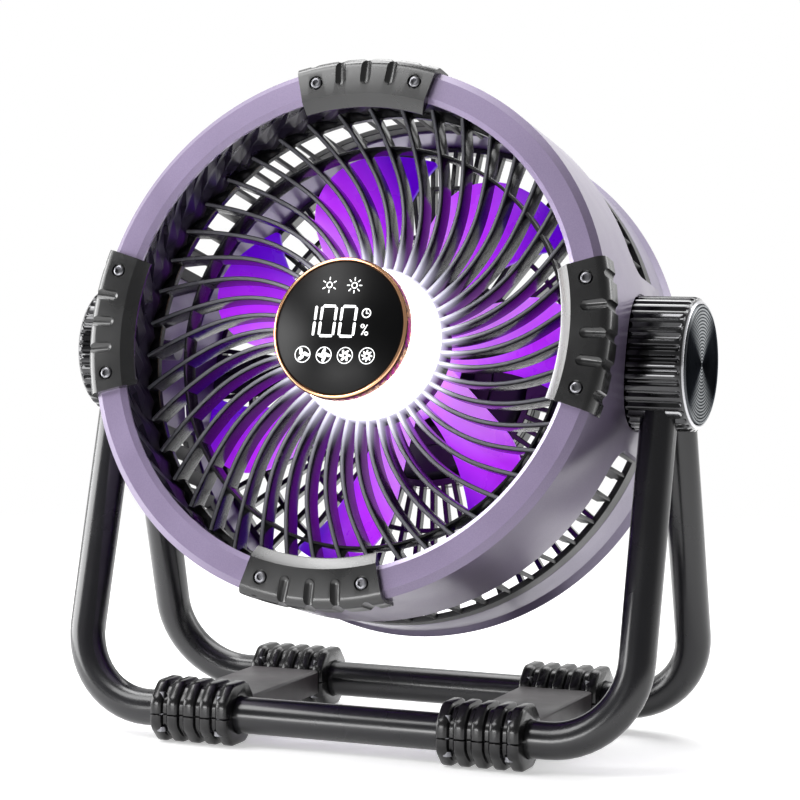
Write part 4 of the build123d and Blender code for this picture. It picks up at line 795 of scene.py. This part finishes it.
# ---- motor
# A pressed steel can with its iron core and two bearings stands on a nylon bracket. The shaft
# carries the magnet.
give(machined_steel, "motor_can", "front_bearing", "rear_bearing", "motor_shaft", "rotor_nut")
motor_iron = new_finish("laminated_motor_iron", "#4b4847", Metallic=0.9, Roughness=0.5)
grain(motor_iron, size_mm=0.5, height_mm=0.03, low=0.42, high=0.6)
give(motor_iron, "motor_core", "motor_magnet")
pod_nylon = new_finish("satin_black_nylon", "#131315", Roughness=0.4)
shade_over(pod_nylon, "#171719", "#0f0f11", size_mm=16)
grain(pod_nylon, size_mm=0.6, height_mm=0.03, low=0.34, high=0.46)
give(pod_nylon, "motor_bracket")

# ---- rotor
# Seven broad blades and a hollow hub, moulded in one piece of translucent violet
# polycarbonate. They carry a painted glow and painted light and shade, pink and brightest beside the hub.
BLADE_COUNT = 7
BLADE_PHASE = 61.1
BLADE_PITCH = radians(32.0)
BLADE_TIP = 104.0
BLADE_FOOT = 28.75
BLADE_THICKNESS = 2.0
BLADE_CAMBER = 0.06
# inside the hub, half way out and past the tip: radius, turn, set-back and chord
STATIONS = ((24.0, 7.5, 13.3, 36.0), (65.0, 0.3, 6.7, 50.0), (106.0, -14.5, 14.9, 70.0))
SWEPT_ARC = ((20.0, -8.5), (63.0, -16.5), (96.0, -47.0))
STRAIGHT_EDGE = 17.0
SWEPT_REACH = -48.0
SWEPT_ROUNDING = 5.0
STRAIGHT_ROUNDING = 32.0
STRIP = 3.0

violet_plastic = new_finish(
    "translucent_violet_polycarbonate", "#7a12e8", Roughness=0.3, Coat_Weight=0.2, Coat_Roughness=0.15,
    Emission_Strength=0.75,
)
middle = from_pivot(violet_plastic)
along = add(violet_plastic, "VectorMath", {0: middle, 1: forward}, operation="DOT_PRODUCT")
reach = add(violet_plastic, "VectorMath", {0: middle}, operation="LENGTH")
# painted light: parts near the lamp and standing forward are painted pink and bright, the rest deep violet
# as painted shade
painted_lamp_nearness = add(violet_plastic, "Math", {0: along, 1: -1.6, 2: reach}, operation="MULTIPLY_ADD")
painted_light_falloff = add(violet_plastic, "MapRange", {"Value": painted_lamp_nearness, "From Min": 0.036, "From Max": 0.12})
lit = add(violet_plastic, "MapRange", {"Value": painted_light_falloff, "From Max": 0.5})
painted_shade_share = add(violet_plastic, "MapRange", {"Value": painted_light_falloff, "From Min": 0.5})
inner = add(violet_plastic, "Mix", {0: lit, 6: linear("#e09cf8"), 7: linear("#b42cf4")}, data_type="RGBA")
outer = add(violet_plastic, "Mix", {0: painted_shade_share, 6: inner, 7: linear("#5400b4")}, data_type="RGBA")
feed(violet_plastic, "Base Color", outer)
feed(violet_plastic, "Emission Color", outer)
grain(violet_plastic, size_mm=6.0, height_mm=0.02, low=0.24, high=0.34)


def at_share(share, column):
    """One column of the stations part of the way out, on the curve through all three."""
    root, middle, tip = (station[column] for station in STATIONS)
    return (
        root * (1 - share) * (1 - 2 * share) + 4 * middle * share * (1 - share)
        + tip * share * (2 * share - 1)
    )


def blade_depth(x, y):
    """How far forward the front face of the blade along +X lies."""
    share = 0.5
    for refinement in range(4):
        turned = radians(at_share(share, 1))
        reach = x * cos(turned) + y * sin(turned)
        share = (reach - STATIONS[0][0]) / (STATIONS[2][0] - STATIONS[0][0])
    half = at_share(share, 3) / 2
    across = y * cos(turned) - x * sin(turned)
    bulge = 0
    for refinement in range(3):
        along = (across + bulge * sin(BLADE_PITCH)) / cos(BLADE_PITCH)
        bulge = 2 * BLADE_CAMBER * half * (1 - (along / half) ** 2)
    return along * sin(BLADE_PITCH) + bulge * cos(BLADE_PITCH) - at_share(share, 2)


def arc_points(centre, radius, start, end, steps):
    """Points on an arc, between two angles in radians."""
    angles = [start + (end - start) * step / steps for step in range(steps + 1)]
    return [centre + radius * Vector((cos(angle), sin(angle))) for angle in angles]


first, second, third = (Vector(point) for point in SWEPT_ARC)
swept_centre = Matrix(((second - first) * 2, (third - first) * 2)).inverted() @ Vector(
    (second.dot(second) - first.dot(first), third.dot(third) - first.dot(first))
)
swept = arc_points(
    swept_centre, (first - swept_centre).length,
    atan2(first.y - swept_centre.y, first.x - swept_centre.x),
    atan2(third.y - swept_centre.y, third.x - swept_centre.x), 160,
)
swept = [point for point in swept if BLADE_FOOT < point.length < BLADE_TIP]
corner = Vector((
    sqrt((BLADE_TIP - STRAIGHT_ROUNDING) ** 2 - (STRAIGHT_EDGE - STRAIGHT_ROUNDING) ** 2),
    STRAIGHT_EDGE - STRAIGHT_ROUNDING,
))
corner_angle = atan2(corner.y, corner.x)
tip_angle = atan2(swept[-1].y, swept[-1].x)
middle = Vector((0, 0))
outline = swept[::4] + arc_points(middle, BLADE_TIP, tip_angle, corner_angle, 12)
outline += arc_points(corner, STRAIGHT_ROUNDING, corner_angle, pi / 2, 16)[1:]
foot_angle = atan2(STRAIGHT_EDGE, sqrt(BLADE_FOOT ** 2 - STRAIGHT_EDGE ** 2))
outline += arc_points(middle, BLADE_FOOT, foot_angle, atan2(swept[0].y, swept[0].x), 14)[:-1]

shape = bmesh.new()
blade = shape.faces.new([shape.verts.new((*point, 0)) for point in outline])
tip_corner = min(shape.verts, key=lambda vert: (vert.co - Vector((*swept[-1], 0))).length)
bmesh.ops.bevel(
    shape, geom=[tip_corner], offset=SWEPT_ROUNDING, segments=6, profile=0.5, affect="VERTICES",
    material=-1,
)
for axis, low, high in (
    (Vector((1, 0, 0)), BLADE_FOOT, BLADE_TIP), (Vector((0, 1, 0)), SWEPT_REACH, STRAIGHT_EDGE)
):
    line = low + STRIP / 2
    while line < high:
        bmesh.ops.bisect_plane(shape, geom=whole(shape), plane_co=axis * line, plane_no=axis, dist=0.0001)
        line += STRIP
for vert in shape.verts:
    vert.co.z = blade_depth(vert.co.x, vert.co.y)
bmesh.ops.solidify(shape, geom=shape.faces[:], thickness=BLADE_THICKNESS)
roll(shape, radians(BLADE_PHASE))
repeat_round(shape, whole(shape), BLADE_COUNT, 360 / BLADE_COUNT)
spun((
    (2.0, 5.5), (27.5, 5.5), (27.5, -20.0), (30.0, -20.0), (30.0, 7.2), (29.3, 8.9), (27.6, 9.5),
    (2.0, 9.5),
), 96, shape)
piece(
    "fan_rotor_moulded", shape, violet_plastic, "rotor", "fan_rotor",
    rounding=0.5, sharp=45,
)

# ---- lamp
# A frosted polycarbonate ring stands in the grille's seat, lit from inside by chips on a
# round laminate board, so that it glows an even white.
lamp_frost = new_finish(
    "frosted_lamp_polycarbonate", "#f6f6fb", Roughness=0.5, Emission_Color=linear("#fbfaff"),
    Emission_Strength=11.0,
)
grain(lamp_frost, size_mm=0.8, height_mm=0.02)
shape = spun((
    (34.8, 16.5), (34.8, 27.5), (36.1, 27.6), (36.0, 29.2), (34.9, 40.0), (33.0, 54.0), (30.4, 54.0),
    (32.2, 27.5), (32.2, 16.5),
), 96)
piece("lamp_ring_frosted", shape, lamp_frost, "head", "light_diffuser", sharp=30)

board_laminate = new_finish("solder_masked_laminate", "#1d5a34", Roughness=0.35, Coat_Weight=0.3)
shade_over(board_laminate, "#236a3e", "#184d2c", size_mm=1.2)
give(board_laminate, "led_board", "display_board", "control_board")

# ---- display bezel and window
# A turned ring of rose gold plated aluminium holds the tinted acrylic window. Its polish
# shows the blades beside it.
rose_gold = new_finish("polished_rose_gold_plate", "#f2b98c", Metallic=1.0, Roughness=0.18)
shade_over(rose_gold, "#f6bf94", "#edb083", size_mm=30)
grain(rose_gold, size_mm=2.0, height_mm=0.004, low=0.15, high=0.21)
shape = spun((
    (33.2, 54.0), (33.6, 54.5), (33.6, 61.9), (33.3, 62.9), (32.7, 63.5), (31.9, 63.5), (31.6, 63.1),
    (31.6, 61.0), (29.6, 61.0), (29.6, 57.0), (27.0, 57.0), (27.0, 54.0),
), 128)
piece("display_bezel_plated", shape, rose_gold, "head", "display_bezel", sharp=50)

tinted_acrylic = new_finish(
    "tinted_display_acrylic", "#030304", Roughness=0.34, Specular_IOR_Level=0.16
)
grain(tinted_acrylic, size_mm=8.0, height_mm=0.004, low=0.32, high=0.38)
shape = spun(((0, 61.0), (31.4, 61.0), (31.4, 62.9), (31.1, 63.2), (0, 63.2)), 128, closed=False)
piece("display_window_tinted", shape, tinted_acrylic, "head", "display_window", sharp=60)

# ---- display signs
# Lit signs shine through the window: two suns for the lamp's levels, the charge in per cent,
# a clock for the timer, and four little fans for the speeds.
SIGN_DEPTH = 63.25
SIGN_THICKNESS = 0.08
SIGN_STROKE = 0.55
DIGIT_STROKE = 1.4
DIGIT_TOP = 10.0
DIGIT_MIDDLE = 2.9
DIGIT_BASE = -4.1
DIGIT_WIDTH = 7.1
DIGIT_LEAN = 0.035
SUN_HEIGHT = 20.0

lit_sign = new_finish(
    "lit_white_sign", "#f4f4f6", Roughness=0.4, Emission_Color=linear("#ffffff"), Emission_Strength=1.0
)
signs = bmesh.new()


def bar_sign(start, end, width):
    """A flat bar with round ends between two points of the display."""
    start, end = Vector(start), Vector(end)
    run = end - start
    verts = bmesh.ops.create_circle(signs, cap_ends=True, segments=12, radius=width / 2)["verts"]
    move(signs, (run.length, 0, 0), [vert for vert in verts if vert.co.x > 0.001])
    roll(signs, atan2(run.y, run.x), verts=verts)
    move(signs, (start.x, start.y, SIGN_DEPTH), verts)


def ring_sign(x, v, radius, width):
    """A flat ring round a point of the display."""
    inner = signs.verts.new((radius - width / 2, 0, 0))
    outer = signs.verts.new((radius + width / 2, 0, 0))
    edge = signs.edges.new((inner, outer))
    before = set(signs.verts)
    bmesh.ops.spin(
        signs, geom=[inner, outer, edge], cent=(0, 0, 0), axis=(0, 0, 1), angle=2 * pi, steps=32,
        use_merge=True,
    )
    ring = [vert for vert in signs.verts if vert not in before] + [inner, outer]
    move(signs, (x, v, SIGN_DEPTH), [vert for vert in ring if vert.is_valid])


for x, rays in ((-7.2, 6), (5.4, 8)):
    ring_sign(x, SUN_HEIGHT, 1.3, SIGN_STROKE)
    for ray in range(rays):
        angle = pi / 2 + 2 * pi * ray / rays
        direction = Vector((cos(angle), sin(angle)))
        centre = Vector((x, SUN_HEIGHT))
        bar_sign(centre + direction * 2.5, centre + direction * 3.6, SIGN_STROKE)


def leaning(x, v):
    """A point of a digit, which leans a little to the right."""
    return (x + (v - DIGIT_BASE) * DIGIT_LEAN, v)


gap = DIGIT_STROKE * 0.75
# a one, and two noughts behind it
for top, base in ((DIGIT_TOP - 0.7, DIGIT_MIDDLE + gap), (DIGIT_MIDDLE - gap, DIGIT_BASE + 0.7)):
    bar_sign(leaning(-12.9, top), leaning(-12.9, base), DIGIT_STROKE)
for left in (-9.95, 0.1):
    for x in (left, left + DIGIT_WIDTH):
        bar_sign(leaning(x, DIGIT_TOP - gap), leaning(x, DIGIT_MIDDLE + gap), DIGIT_STROKE)
        bar_sign(leaning(x, DIGIT_MIDDLE - gap), leaning(x, DIGIT_BASE + gap), DIGIT_STROKE)
    for v in (DIGIT_TOP, DIGIT_BASE):
        bar_sign(leaning(left + gap, v), leaning(left + DIGIT_WIDTH - gap, v), DIGIT_STROKE)
# the clock, and the per cent sign below it
ring_sign(12.8, 7.0, 2.05, SIGN_STROKE)
bar_sign((12.8, 8.1), (12.8, 6.9), SIGN_STROKE)
bar_sign((12.8, 6.9), (13.8, 6.9), SIGN_STROKE)
ring_sign(11.6, 0.9, 0.75, 0.5)
ring_sign(13.7, -2.6, 0.75, 0.5)
bar_sign((11.5, -3.1), (13.8, 1.4), SIGN_STROKE)
# the fans, which have more and narrower blades for each speed
for x, v, blades in ((-17.0, -13.1, 3), (-6.3, -13.2, 4), (4.3, -13.1, 6), (15.2, -13.0, 8)):
    ring_sign(x, v, 3.75, 0.42)
    for blade in range(blades):
        angle = 2 * pi * blade / blades + 0.4
        width = min(1.7, 6.4 / blades)
        inner = Vector((cos(angle), sin(angle))) * 1.1
        outer = Vector((cos(angle - 0.45), sin(angle - 0.45))) * 2.4
        bar_sign(Vector((x, v)) + inner, Vector((x, v)) + outer, width)
thickened = bmesh.ops.extrude_face_region(signs, geom=signs.faces[:])["geom"]
move(signs, (0, 0, SIGN_THICKNESS), among(thickened, bmesh.types.BMVert))
piece("display_signs", signs, lit_sign, "head", None, sharp=30)

# ---- corner guards
# Four guards of black rubber are moulded over the rim. Rounded grooves run over the face and
# down the side of each, and its inner lip slopes back into the mouth.
GUARD_ARC = 32.0
GUARD_FACE = 65.0
GUARD_RADIUS = 130.0
GUARD_SIDE_BACK = 50.0
GUARD_LIP_RADIUS = 106.5
GUARD_GROOVE_START = 119.2
GUARD_GROOVE_RADIUS = 2.9
GUARD_GROOVE_LIFT = 1.3
GUARD_GROOVE_ANGLES = (-6.0, 0.0, 6.0)
SCREW_CIRCLE = 120.0
SCREW_ANGLE = 12.03
SCREW_RECESS_RADIUS = 3.5

guard_rubber = new_finish(
    "satin_black_guard_rubber", "#0f0f10", Roughness=0.28, Specular_IOR_Level=0.6, Coat_Weight=0.35,
    Coat_Roughness=0.2,
)
shade_over(guard_rubber, "#131314", "#0c0c0d", size_mm=9)
grain(guard_rubber, size_mm=0.7, height_mm=0.015, low=0.24, high=0.34)


def put_in(shape, pattern, place):
    """Adds a copy of a pattern to a shape, at a place."""
    mesh = bpy.data.meshes.new("pattern")
    pattern.to_mesh(mesh)
    mesh.transform(place)
    shape.from_mesh(mesh)
    bpy.data.meshes.remove(mesh)


def rod(shape, start, end, radius):
    """Adds a rod with round ends between two points."""
    run = end - start
    quarter = [radians(step * 90 / 6) for step in range(7)]
    outline = [(radius * sin(angle), -radius * cos(angle)) for angle in quarter]
    outline += [(radius * cos(angle), run.length + radius * sin(angle)) for angle in quarter]
    outline[0], outline[-1] = (0, -radius), (0, run.length + radius)
    one = spun(outline, 24, closed=False)
    put_in(shape, one, Matrix.Translation(start) @ run.to_track_quat("Z", "Y").to_matrix().to_4x4())
    one.free()


def on_ring(radius, angle, depth):
    """The point of the head at a radius, an angle in degrees and a depth."""
    return Vector((radius * cos(radians(angle)), radius * sin(radians(angle)), depth))


guard_pattern = spun((
    (GUARD_LIP_RADIUS, 61.2), (107.2, 61.9), (112.1, GUARD_FACE), (125.2, GUARD_FACE), (126.7, 64.8),
    (128.0, 64.1), (129.1, 63.0), (129.8, 61.7), (GUARD_RADIUS, 60.2), (GUARD_RADIUS, 50.8),
    (129.6, GUARD_SIDE_BACK), (128.3, GUARD_SIDE_BACK), (128.1, 59.2), (124.6, DRUM_FACE),
    (114.6, DRUM_FACE), (112.1, 60.1), (GUARD_LIP_RADIUS, 60.3),
), 40, arc=GUARD_ARC)
close(guard_pattern)
roll(guard_pattern, radians(-GUARD_ARC / 2))
over, beside = GUARD_FACE + GUARD_GROOVE_LIFT, GUARD_RADIUS + GUARD_GROOVE_LIFT
side_angles = (*GUARD_GROOVE_ANGLES, SCREW_ANGLE + 0.3, -SCREW_ANGLE - 0.3)
for angles, start, end in (
    (GUARD_GROOVE_ANGLES, (GUARD_GROOVE_START, over), (GUARD_RADIUS + 4, over)),
    (side_angles, (beside, GUARD_FACE + 3), (beside, GUARD_SIDE_BACK - 4)),
):
    grooves = bmesh.new()
    for angle in angles:
        first, last = (on_ring(radius, angle, depth) for radius, depth in (start, end))
        rod(grooves, first, last, GUARD_GROOVE_RADIUS)
    guard_pattern = carved(guard_pattern, grooves)
recesses = bmesh.new()
for hand in (1, -1):
    place = Matrix.Translation(on_ring(SCREW_CIRCLE, hand * SCREW_ANGLE, GUARD_FACE + 0.3))
    round_block(SCREW_RECESS_RADIUS, 4.0, 32, place, recesses)
guard_pattern = carved(guard_pattern, recesses)
for quarter, name in enumerate(("right_guard", "top_guard", "left_guard", "bottom_guard")):
    shape = guard_pattern.copy()
    roll(shape, quarter * pi / 2)
    piece(
        name + "_moulded", shape, guard_rubber, "head", name,
        rounding=0.45, segments=3, sharp=30,
    )
guard_pattern.free()

# ---- guard screws
# Two M3 button screws of black oxide steel with hexagon sockets hold each guard.
SCREW_HEAD_RADIUS = 2.75
SOCKET_RADIUS = 1.6

shape = spun((
    (0, 57.5), (1.45, 57.5), (1.45, 63.3), (SCREW_HEAD_RADIUS, 63.3), (SCREW_HEAD_RADIUS, 64.5),
    (2.5, 65.1), (2.05, 65.4), (0, 65.4),
), 32, closed=False)
screw_pattern = carved(shape, round_block(SOCKET_RADIUS, 3.0, 6, Matrix.Translation((0, 0, 65.5))))
shape = bmesh.new()
for quarter in range(4):
    for hand in (1, -1):
        place = Matrix.Translation(on_ring(SCREW_CIRCLE, 90 * quarter + hand * SCREW_ANGLE, 0))
        put_in(shape, screw_pattern, place)
screw_pattern.free()
piece("guard_screws_socketed", shape, black_oxide, "head", "guard_screws")

# ---- rear grille
# Sixty straight bars, two rings and a broad web on each side, moulded in glossy black ABS
# with a flange that is screwed to the rear ring.
REAR_RIB_COUNT = 60
REAR_FRONT = -58.0
REAR_BACK = -63.0
REAR_BAR_WIDTH = 2.5
REAR_WEB_WIDTH = 20.0
REAR_HUB_INNER = 50.3
REAR_HUB_OUTER = 54.0
REAR_MIDDLE_RINGS = (76.0, 100.0)
REAR_RIM_INNER = 118.8
REAR_FLANGE_OUTER = 125.0
REAR_FLANGE_BACK = -65.5

shape = bmesh.new()
length = REAR_RIM_INNER - REAR_HUB_OUTER + 2
bars = [(REAR_BAR_WIDTH, bar * 360 / REAR_RIB_COUNT) for bar in range(REAR_RIB_COUNT)]
for width, angle in bars + [(REAR_WEB_WIDTH, 0), (REAR_WEB_WIDTH, 180)]:
    verts = bmesh.ops.create_cube(shape, size=1)["verts"]
    resize(shape, (length, width, REAR_FRONT - REAR_BACK), verts)
    move(shape, (REAR_HUB_OUTER - 1 + length / 2, 0, (REAR_FRONT + REAR_BACK) / 2), verts)
    roll(shape, radians(angle), verts=verts)
rings = [(radius - REAR_BAR_WIDTH / 2, radius + REAR_BAR_WIDTH / 2, 120) for radius in REAR_MIDDLE_RINGS]
for inner, outer, steps in rings + [(REAR_HUB_INNER, REAR_HUB_OUTER, 96)]:
    spun((
        (inner, REAR_BACK), (outer, REAR_BACK), (outer, REAR_FRONT), (inner, REAR_FRONT)
    ), steps, shape)
spun((
    (REAR_RIM_INNER, REAR_FLANGE_BACK), (REAR_FLANGE_OUTER, REAR_FLANGE_BACK), (REAR_FLANGE_OUTER, -64.5),
    (121.5, -64.5), (121.5, REAR_FRONT), (REAR_RIM_INNER, REAR_FRONT),
), 144, shape)
piece("rear_grille_moulded", shape, gloss_abs, "head", "rear_grille", rounding=0.5, sharp=45)
give(black_oxide, "grille_screws")

# ---- rear pod
# A round case in the middle of the rear grille, moulded in satin black nylon with a collar
# and a row of shallow rings on its side. It holds the cells and the control board.
shape = spun((
    (0, -53.6), (46.2, -53.6), (48.6, -54.6), (50.0, -57.0), (50.0, -63.0), (53.4, -63.0), (54.0, -63.6),
    (54.0, -65.4), (53.4, -66.0), (50.0, -66.0), (50.0, -70.0), (49.6, -70.4), (49.6, -71.6),
    (50.0, -72.0), (50.0, -75.6), (49.6, -76.0), (49.6, -77.2), (50.0, -77.6), (50.0, -82.6),
    (47.6, -82.6), (47.6, -56.0), (0, -56.0),
), 128, closed=False)
piece("rear_housing_moulded", shape, pod_nylon, "head", "rear_housing", sharp=40)

cell_wrap = new_finish("blue_cell_wrap", "#2a5fae", Roughness=0.25, Coat_Weight=0.4)
grain(cell_wrap, size_mm=2.0, height_mm=0.02, low=0.2, high=0.32)
give(cell_wrap, "battery_cells")
give(pod_nylon, "battery_holder")
give(machined_steel, "charging_port")

# ---- rear cover
# The flat cover has a rolled edge, holes for the keys, a cut-out for the charging port and
# two lugs for its flap. Six screws hold it.
give(pod_nylon, "rear_cover")
give(black_oxide, "cover_screws")

# ---- keys and port flap
# Three round keys of dark grey ABS rest on the switches. A soft rubber flap covers the port.
key_abs = new_finish("dark_grey_key_abs", "#3a3a3e", Roughness=0.45)
grain(key_abs, size_mm=0.5, height_mm=0.03, low=0.4, high=0.5)
give(key_abs, "power_button", "light_button", "timer_button")
port_rubber = new_finish("soft_black_port_rubber", "#18181a", Roughness=0.6)
grain(port_rubber, size_mm=0.8, height_mm=0.04)
give(port_rubber, "port_cover")

# ---- floor, light and camera
# A plain white floor keeps the shadow and fades into the white of the studio. Soft boxes stand
# at the left and upper left, a small and a wide one above, a strip low in front and one at the
# rear right.
FLOOR_GLOW = 0.42
FLOOR_DROP = 0.0002

floor_paint = new_finish(
    "plain_white_floor", "#ffffff", Roughness=0.7, Emission_Color=linear("#ffffff"),
    Emission_Strength=FLOOR_GLOW,
)
shader = floor_paint.node_tree.nodes["Principled BSDF"]
place = add(floor_paint, "TexCoord")
distance = add(floor_paint, "VectorMath", {0: place.outputs["Object"]}, operation="LENGTH")
fade = add(floor_paint, "MapRange", {
    "Value": distance, "From Min": 0.3, "From Max": 1.0,
}, interpolation_type="SMOOTHSTEP")
ray = add(floor_paint, "LightPath")
backdrop = add(floor_paint, "Emission", {"Color": linear("#ffffff"), "Strength": 1.0})
faded = add(floor_paint, "MixShader", {0: fade, 1: shader, 2: backdrop})
# grey in what it throws back on the fan, and white where it is seen, mirrored or seen through
dull = add(floor_paint, "BsdfDiffuse", {"Color": linear("#8c8c8c")})
mirrored = add(floor_paint, "Math", {
    0: ray.outputs["Is Glossy Ray"], 1: ray.outputs["Is Transmission Ray"],
}, operation="MAXIMUM")
shown = add(floor_paint, "Math", {0: ray.outputs["Is Camera Ray"], 1: mirrored}, operation="MAXIMUM")
chosen = add(floor_paint, "MixShader", {0: shown, 1: dull, 2: faded})
surface = floor_paint.node_tree.nodes["Material Output"].inputs["Surface"]
floor_paint.node_tree.links.new(output_of(chosen), surface)
shape = bmesh.new()
bmesh.ops.create_grid(shape, x_segments=1, y_segments=1, size=6.0)
floor = object_of("floor", shape)
floor.data.transform(Matrix.Translation((0, 0, -FLOOR_DROP)))
floor.data.materials.append(floor_paint)

# white where it is seen directly or through clear material, and for reflections a white
# backdrop behind the fan and a dim room in front of it
world = bpy.data.worlds.new("studio")
bpy.context.scene.world = world
world.use_nodes = True
place = add(world, "TexCoord")
towards = add(world, "SeparateXYZ", {"Vector": place.outputs["Generated"]})
room = add(world, "MapRange", {
    "Value": towards.outputs["Y"], "From Min": -0.3, "From Max": 0.7, "To Min": 0.28, "To Max": 1.0,
}, interpolation_type="SMOOTHSTEP")
ray = add(world, "LightPath")
behind = add(world, "Math", {0: ray.outputs["Is Glossy Ray"], 1: room}, operation="MULTIPLY")
direct = add(world, "Math", {
    0: ray.outputs["Is Camera Ray"], 1: ray.outputs["Is Transmission Ray"],
}, operation="MAXIMUM")
shown = add(world, "Math", {0: direct, 1: behind}, operation="MAXIMUM")
fill = add(world, "Math", {0: ray.outputs["Is Diffuse Ray"], 1: 0.1}, operation="MULTIPLY")
strength = add(world, "Math", {0: shown, 1: fill}, operation="MAXIMUM")
background = world.node_tree.nodes["Background"]
background.inputs["Color"].default_value = (1, 1, 1, 1)
world.node_tree.links.new(output_of(strength), background.inputs["Strength"])


for name, place, aim_height, width, height, watts in (
    ("left_box", (-1.25, -0.35, 0.35), 0.15, 1.2, 0.7, 20),
    ("upper_left_box", (-0.62, -0.66, 1.15), 0.15, 0.7, 0.5, 8),
    ("small_top_box", (-0.5, 0.0, 1.2), 0.15, 0.4, 0.5, 6),
    ("wide_top_box", (0.1, 0.65, 1.25), 0.15, 1.4, 0.9, 15),
    ("front_strip", (-0.3, -1.1, 0.05), 0.1, 0.6, 0.3, 7),
    ("rear_right_strip", (0.9, 1.0, 0.55), 0.18, 0.5, 0.9, 4),
):
    light = bpy.data.lights.new(name, "AREA")
    light.shape = "RECTANGLE"
    light.size, light.size_y, light.energy = width, height, watts
    box = bpy.data.objects.new(name, light)
    box.location = place
    box.rotation_euler = (Vector((0, 0, aim_height)) - box.location).to_track_quat("-Z", "Y").to_euler()
    bpy.context.scene.collection.objects.link(box)

camera = bpy.data.objects.new("camera", bpy.data.cameras.new("camera"))
bpy.context.scene.collection.objects.link(camera)
bpy.context.scene.camera = camera
CAMERA_YAW, CAMERA_PITCH, CAMERA_ROLL = radians(22.41), radians(2.14), radians(0.36)
aside = Vector((cos(CAMERA_YAW), sin(CAMERA_YAW), 0))
level = Vector((-sin(CAMERA_YAW), cos(CAMERA_YAW), 0))
ahead = level * cos(CAMERA_PITCH) - Vector((0, 0, sin(CAMERA_PITCH)))
above = aside.cross(ahead)
aside, above = (
    aside * cos(CAMERA_ROLL) + above * sin(CAMERA_ROLL),
    above * cos(CAMERA_ROLL) - aside * sin(CAMERA_ROLL),
)
facing = Matrix((aside, above, -ahead)).transposed().to_4x4()
camera.matrix_world = Matrix.Translation((0.49155, -1.19047, 0.24901)) @ facing
camera.data.lens = 120.45
camera.data.sensor_width = 36
camera.data.shift_x = 0.0109
camera.data.shift_y = -0.1024
camera.data.clip_start = 0.05
bpy.context.scene.view_settings.view_transform = "Standard"
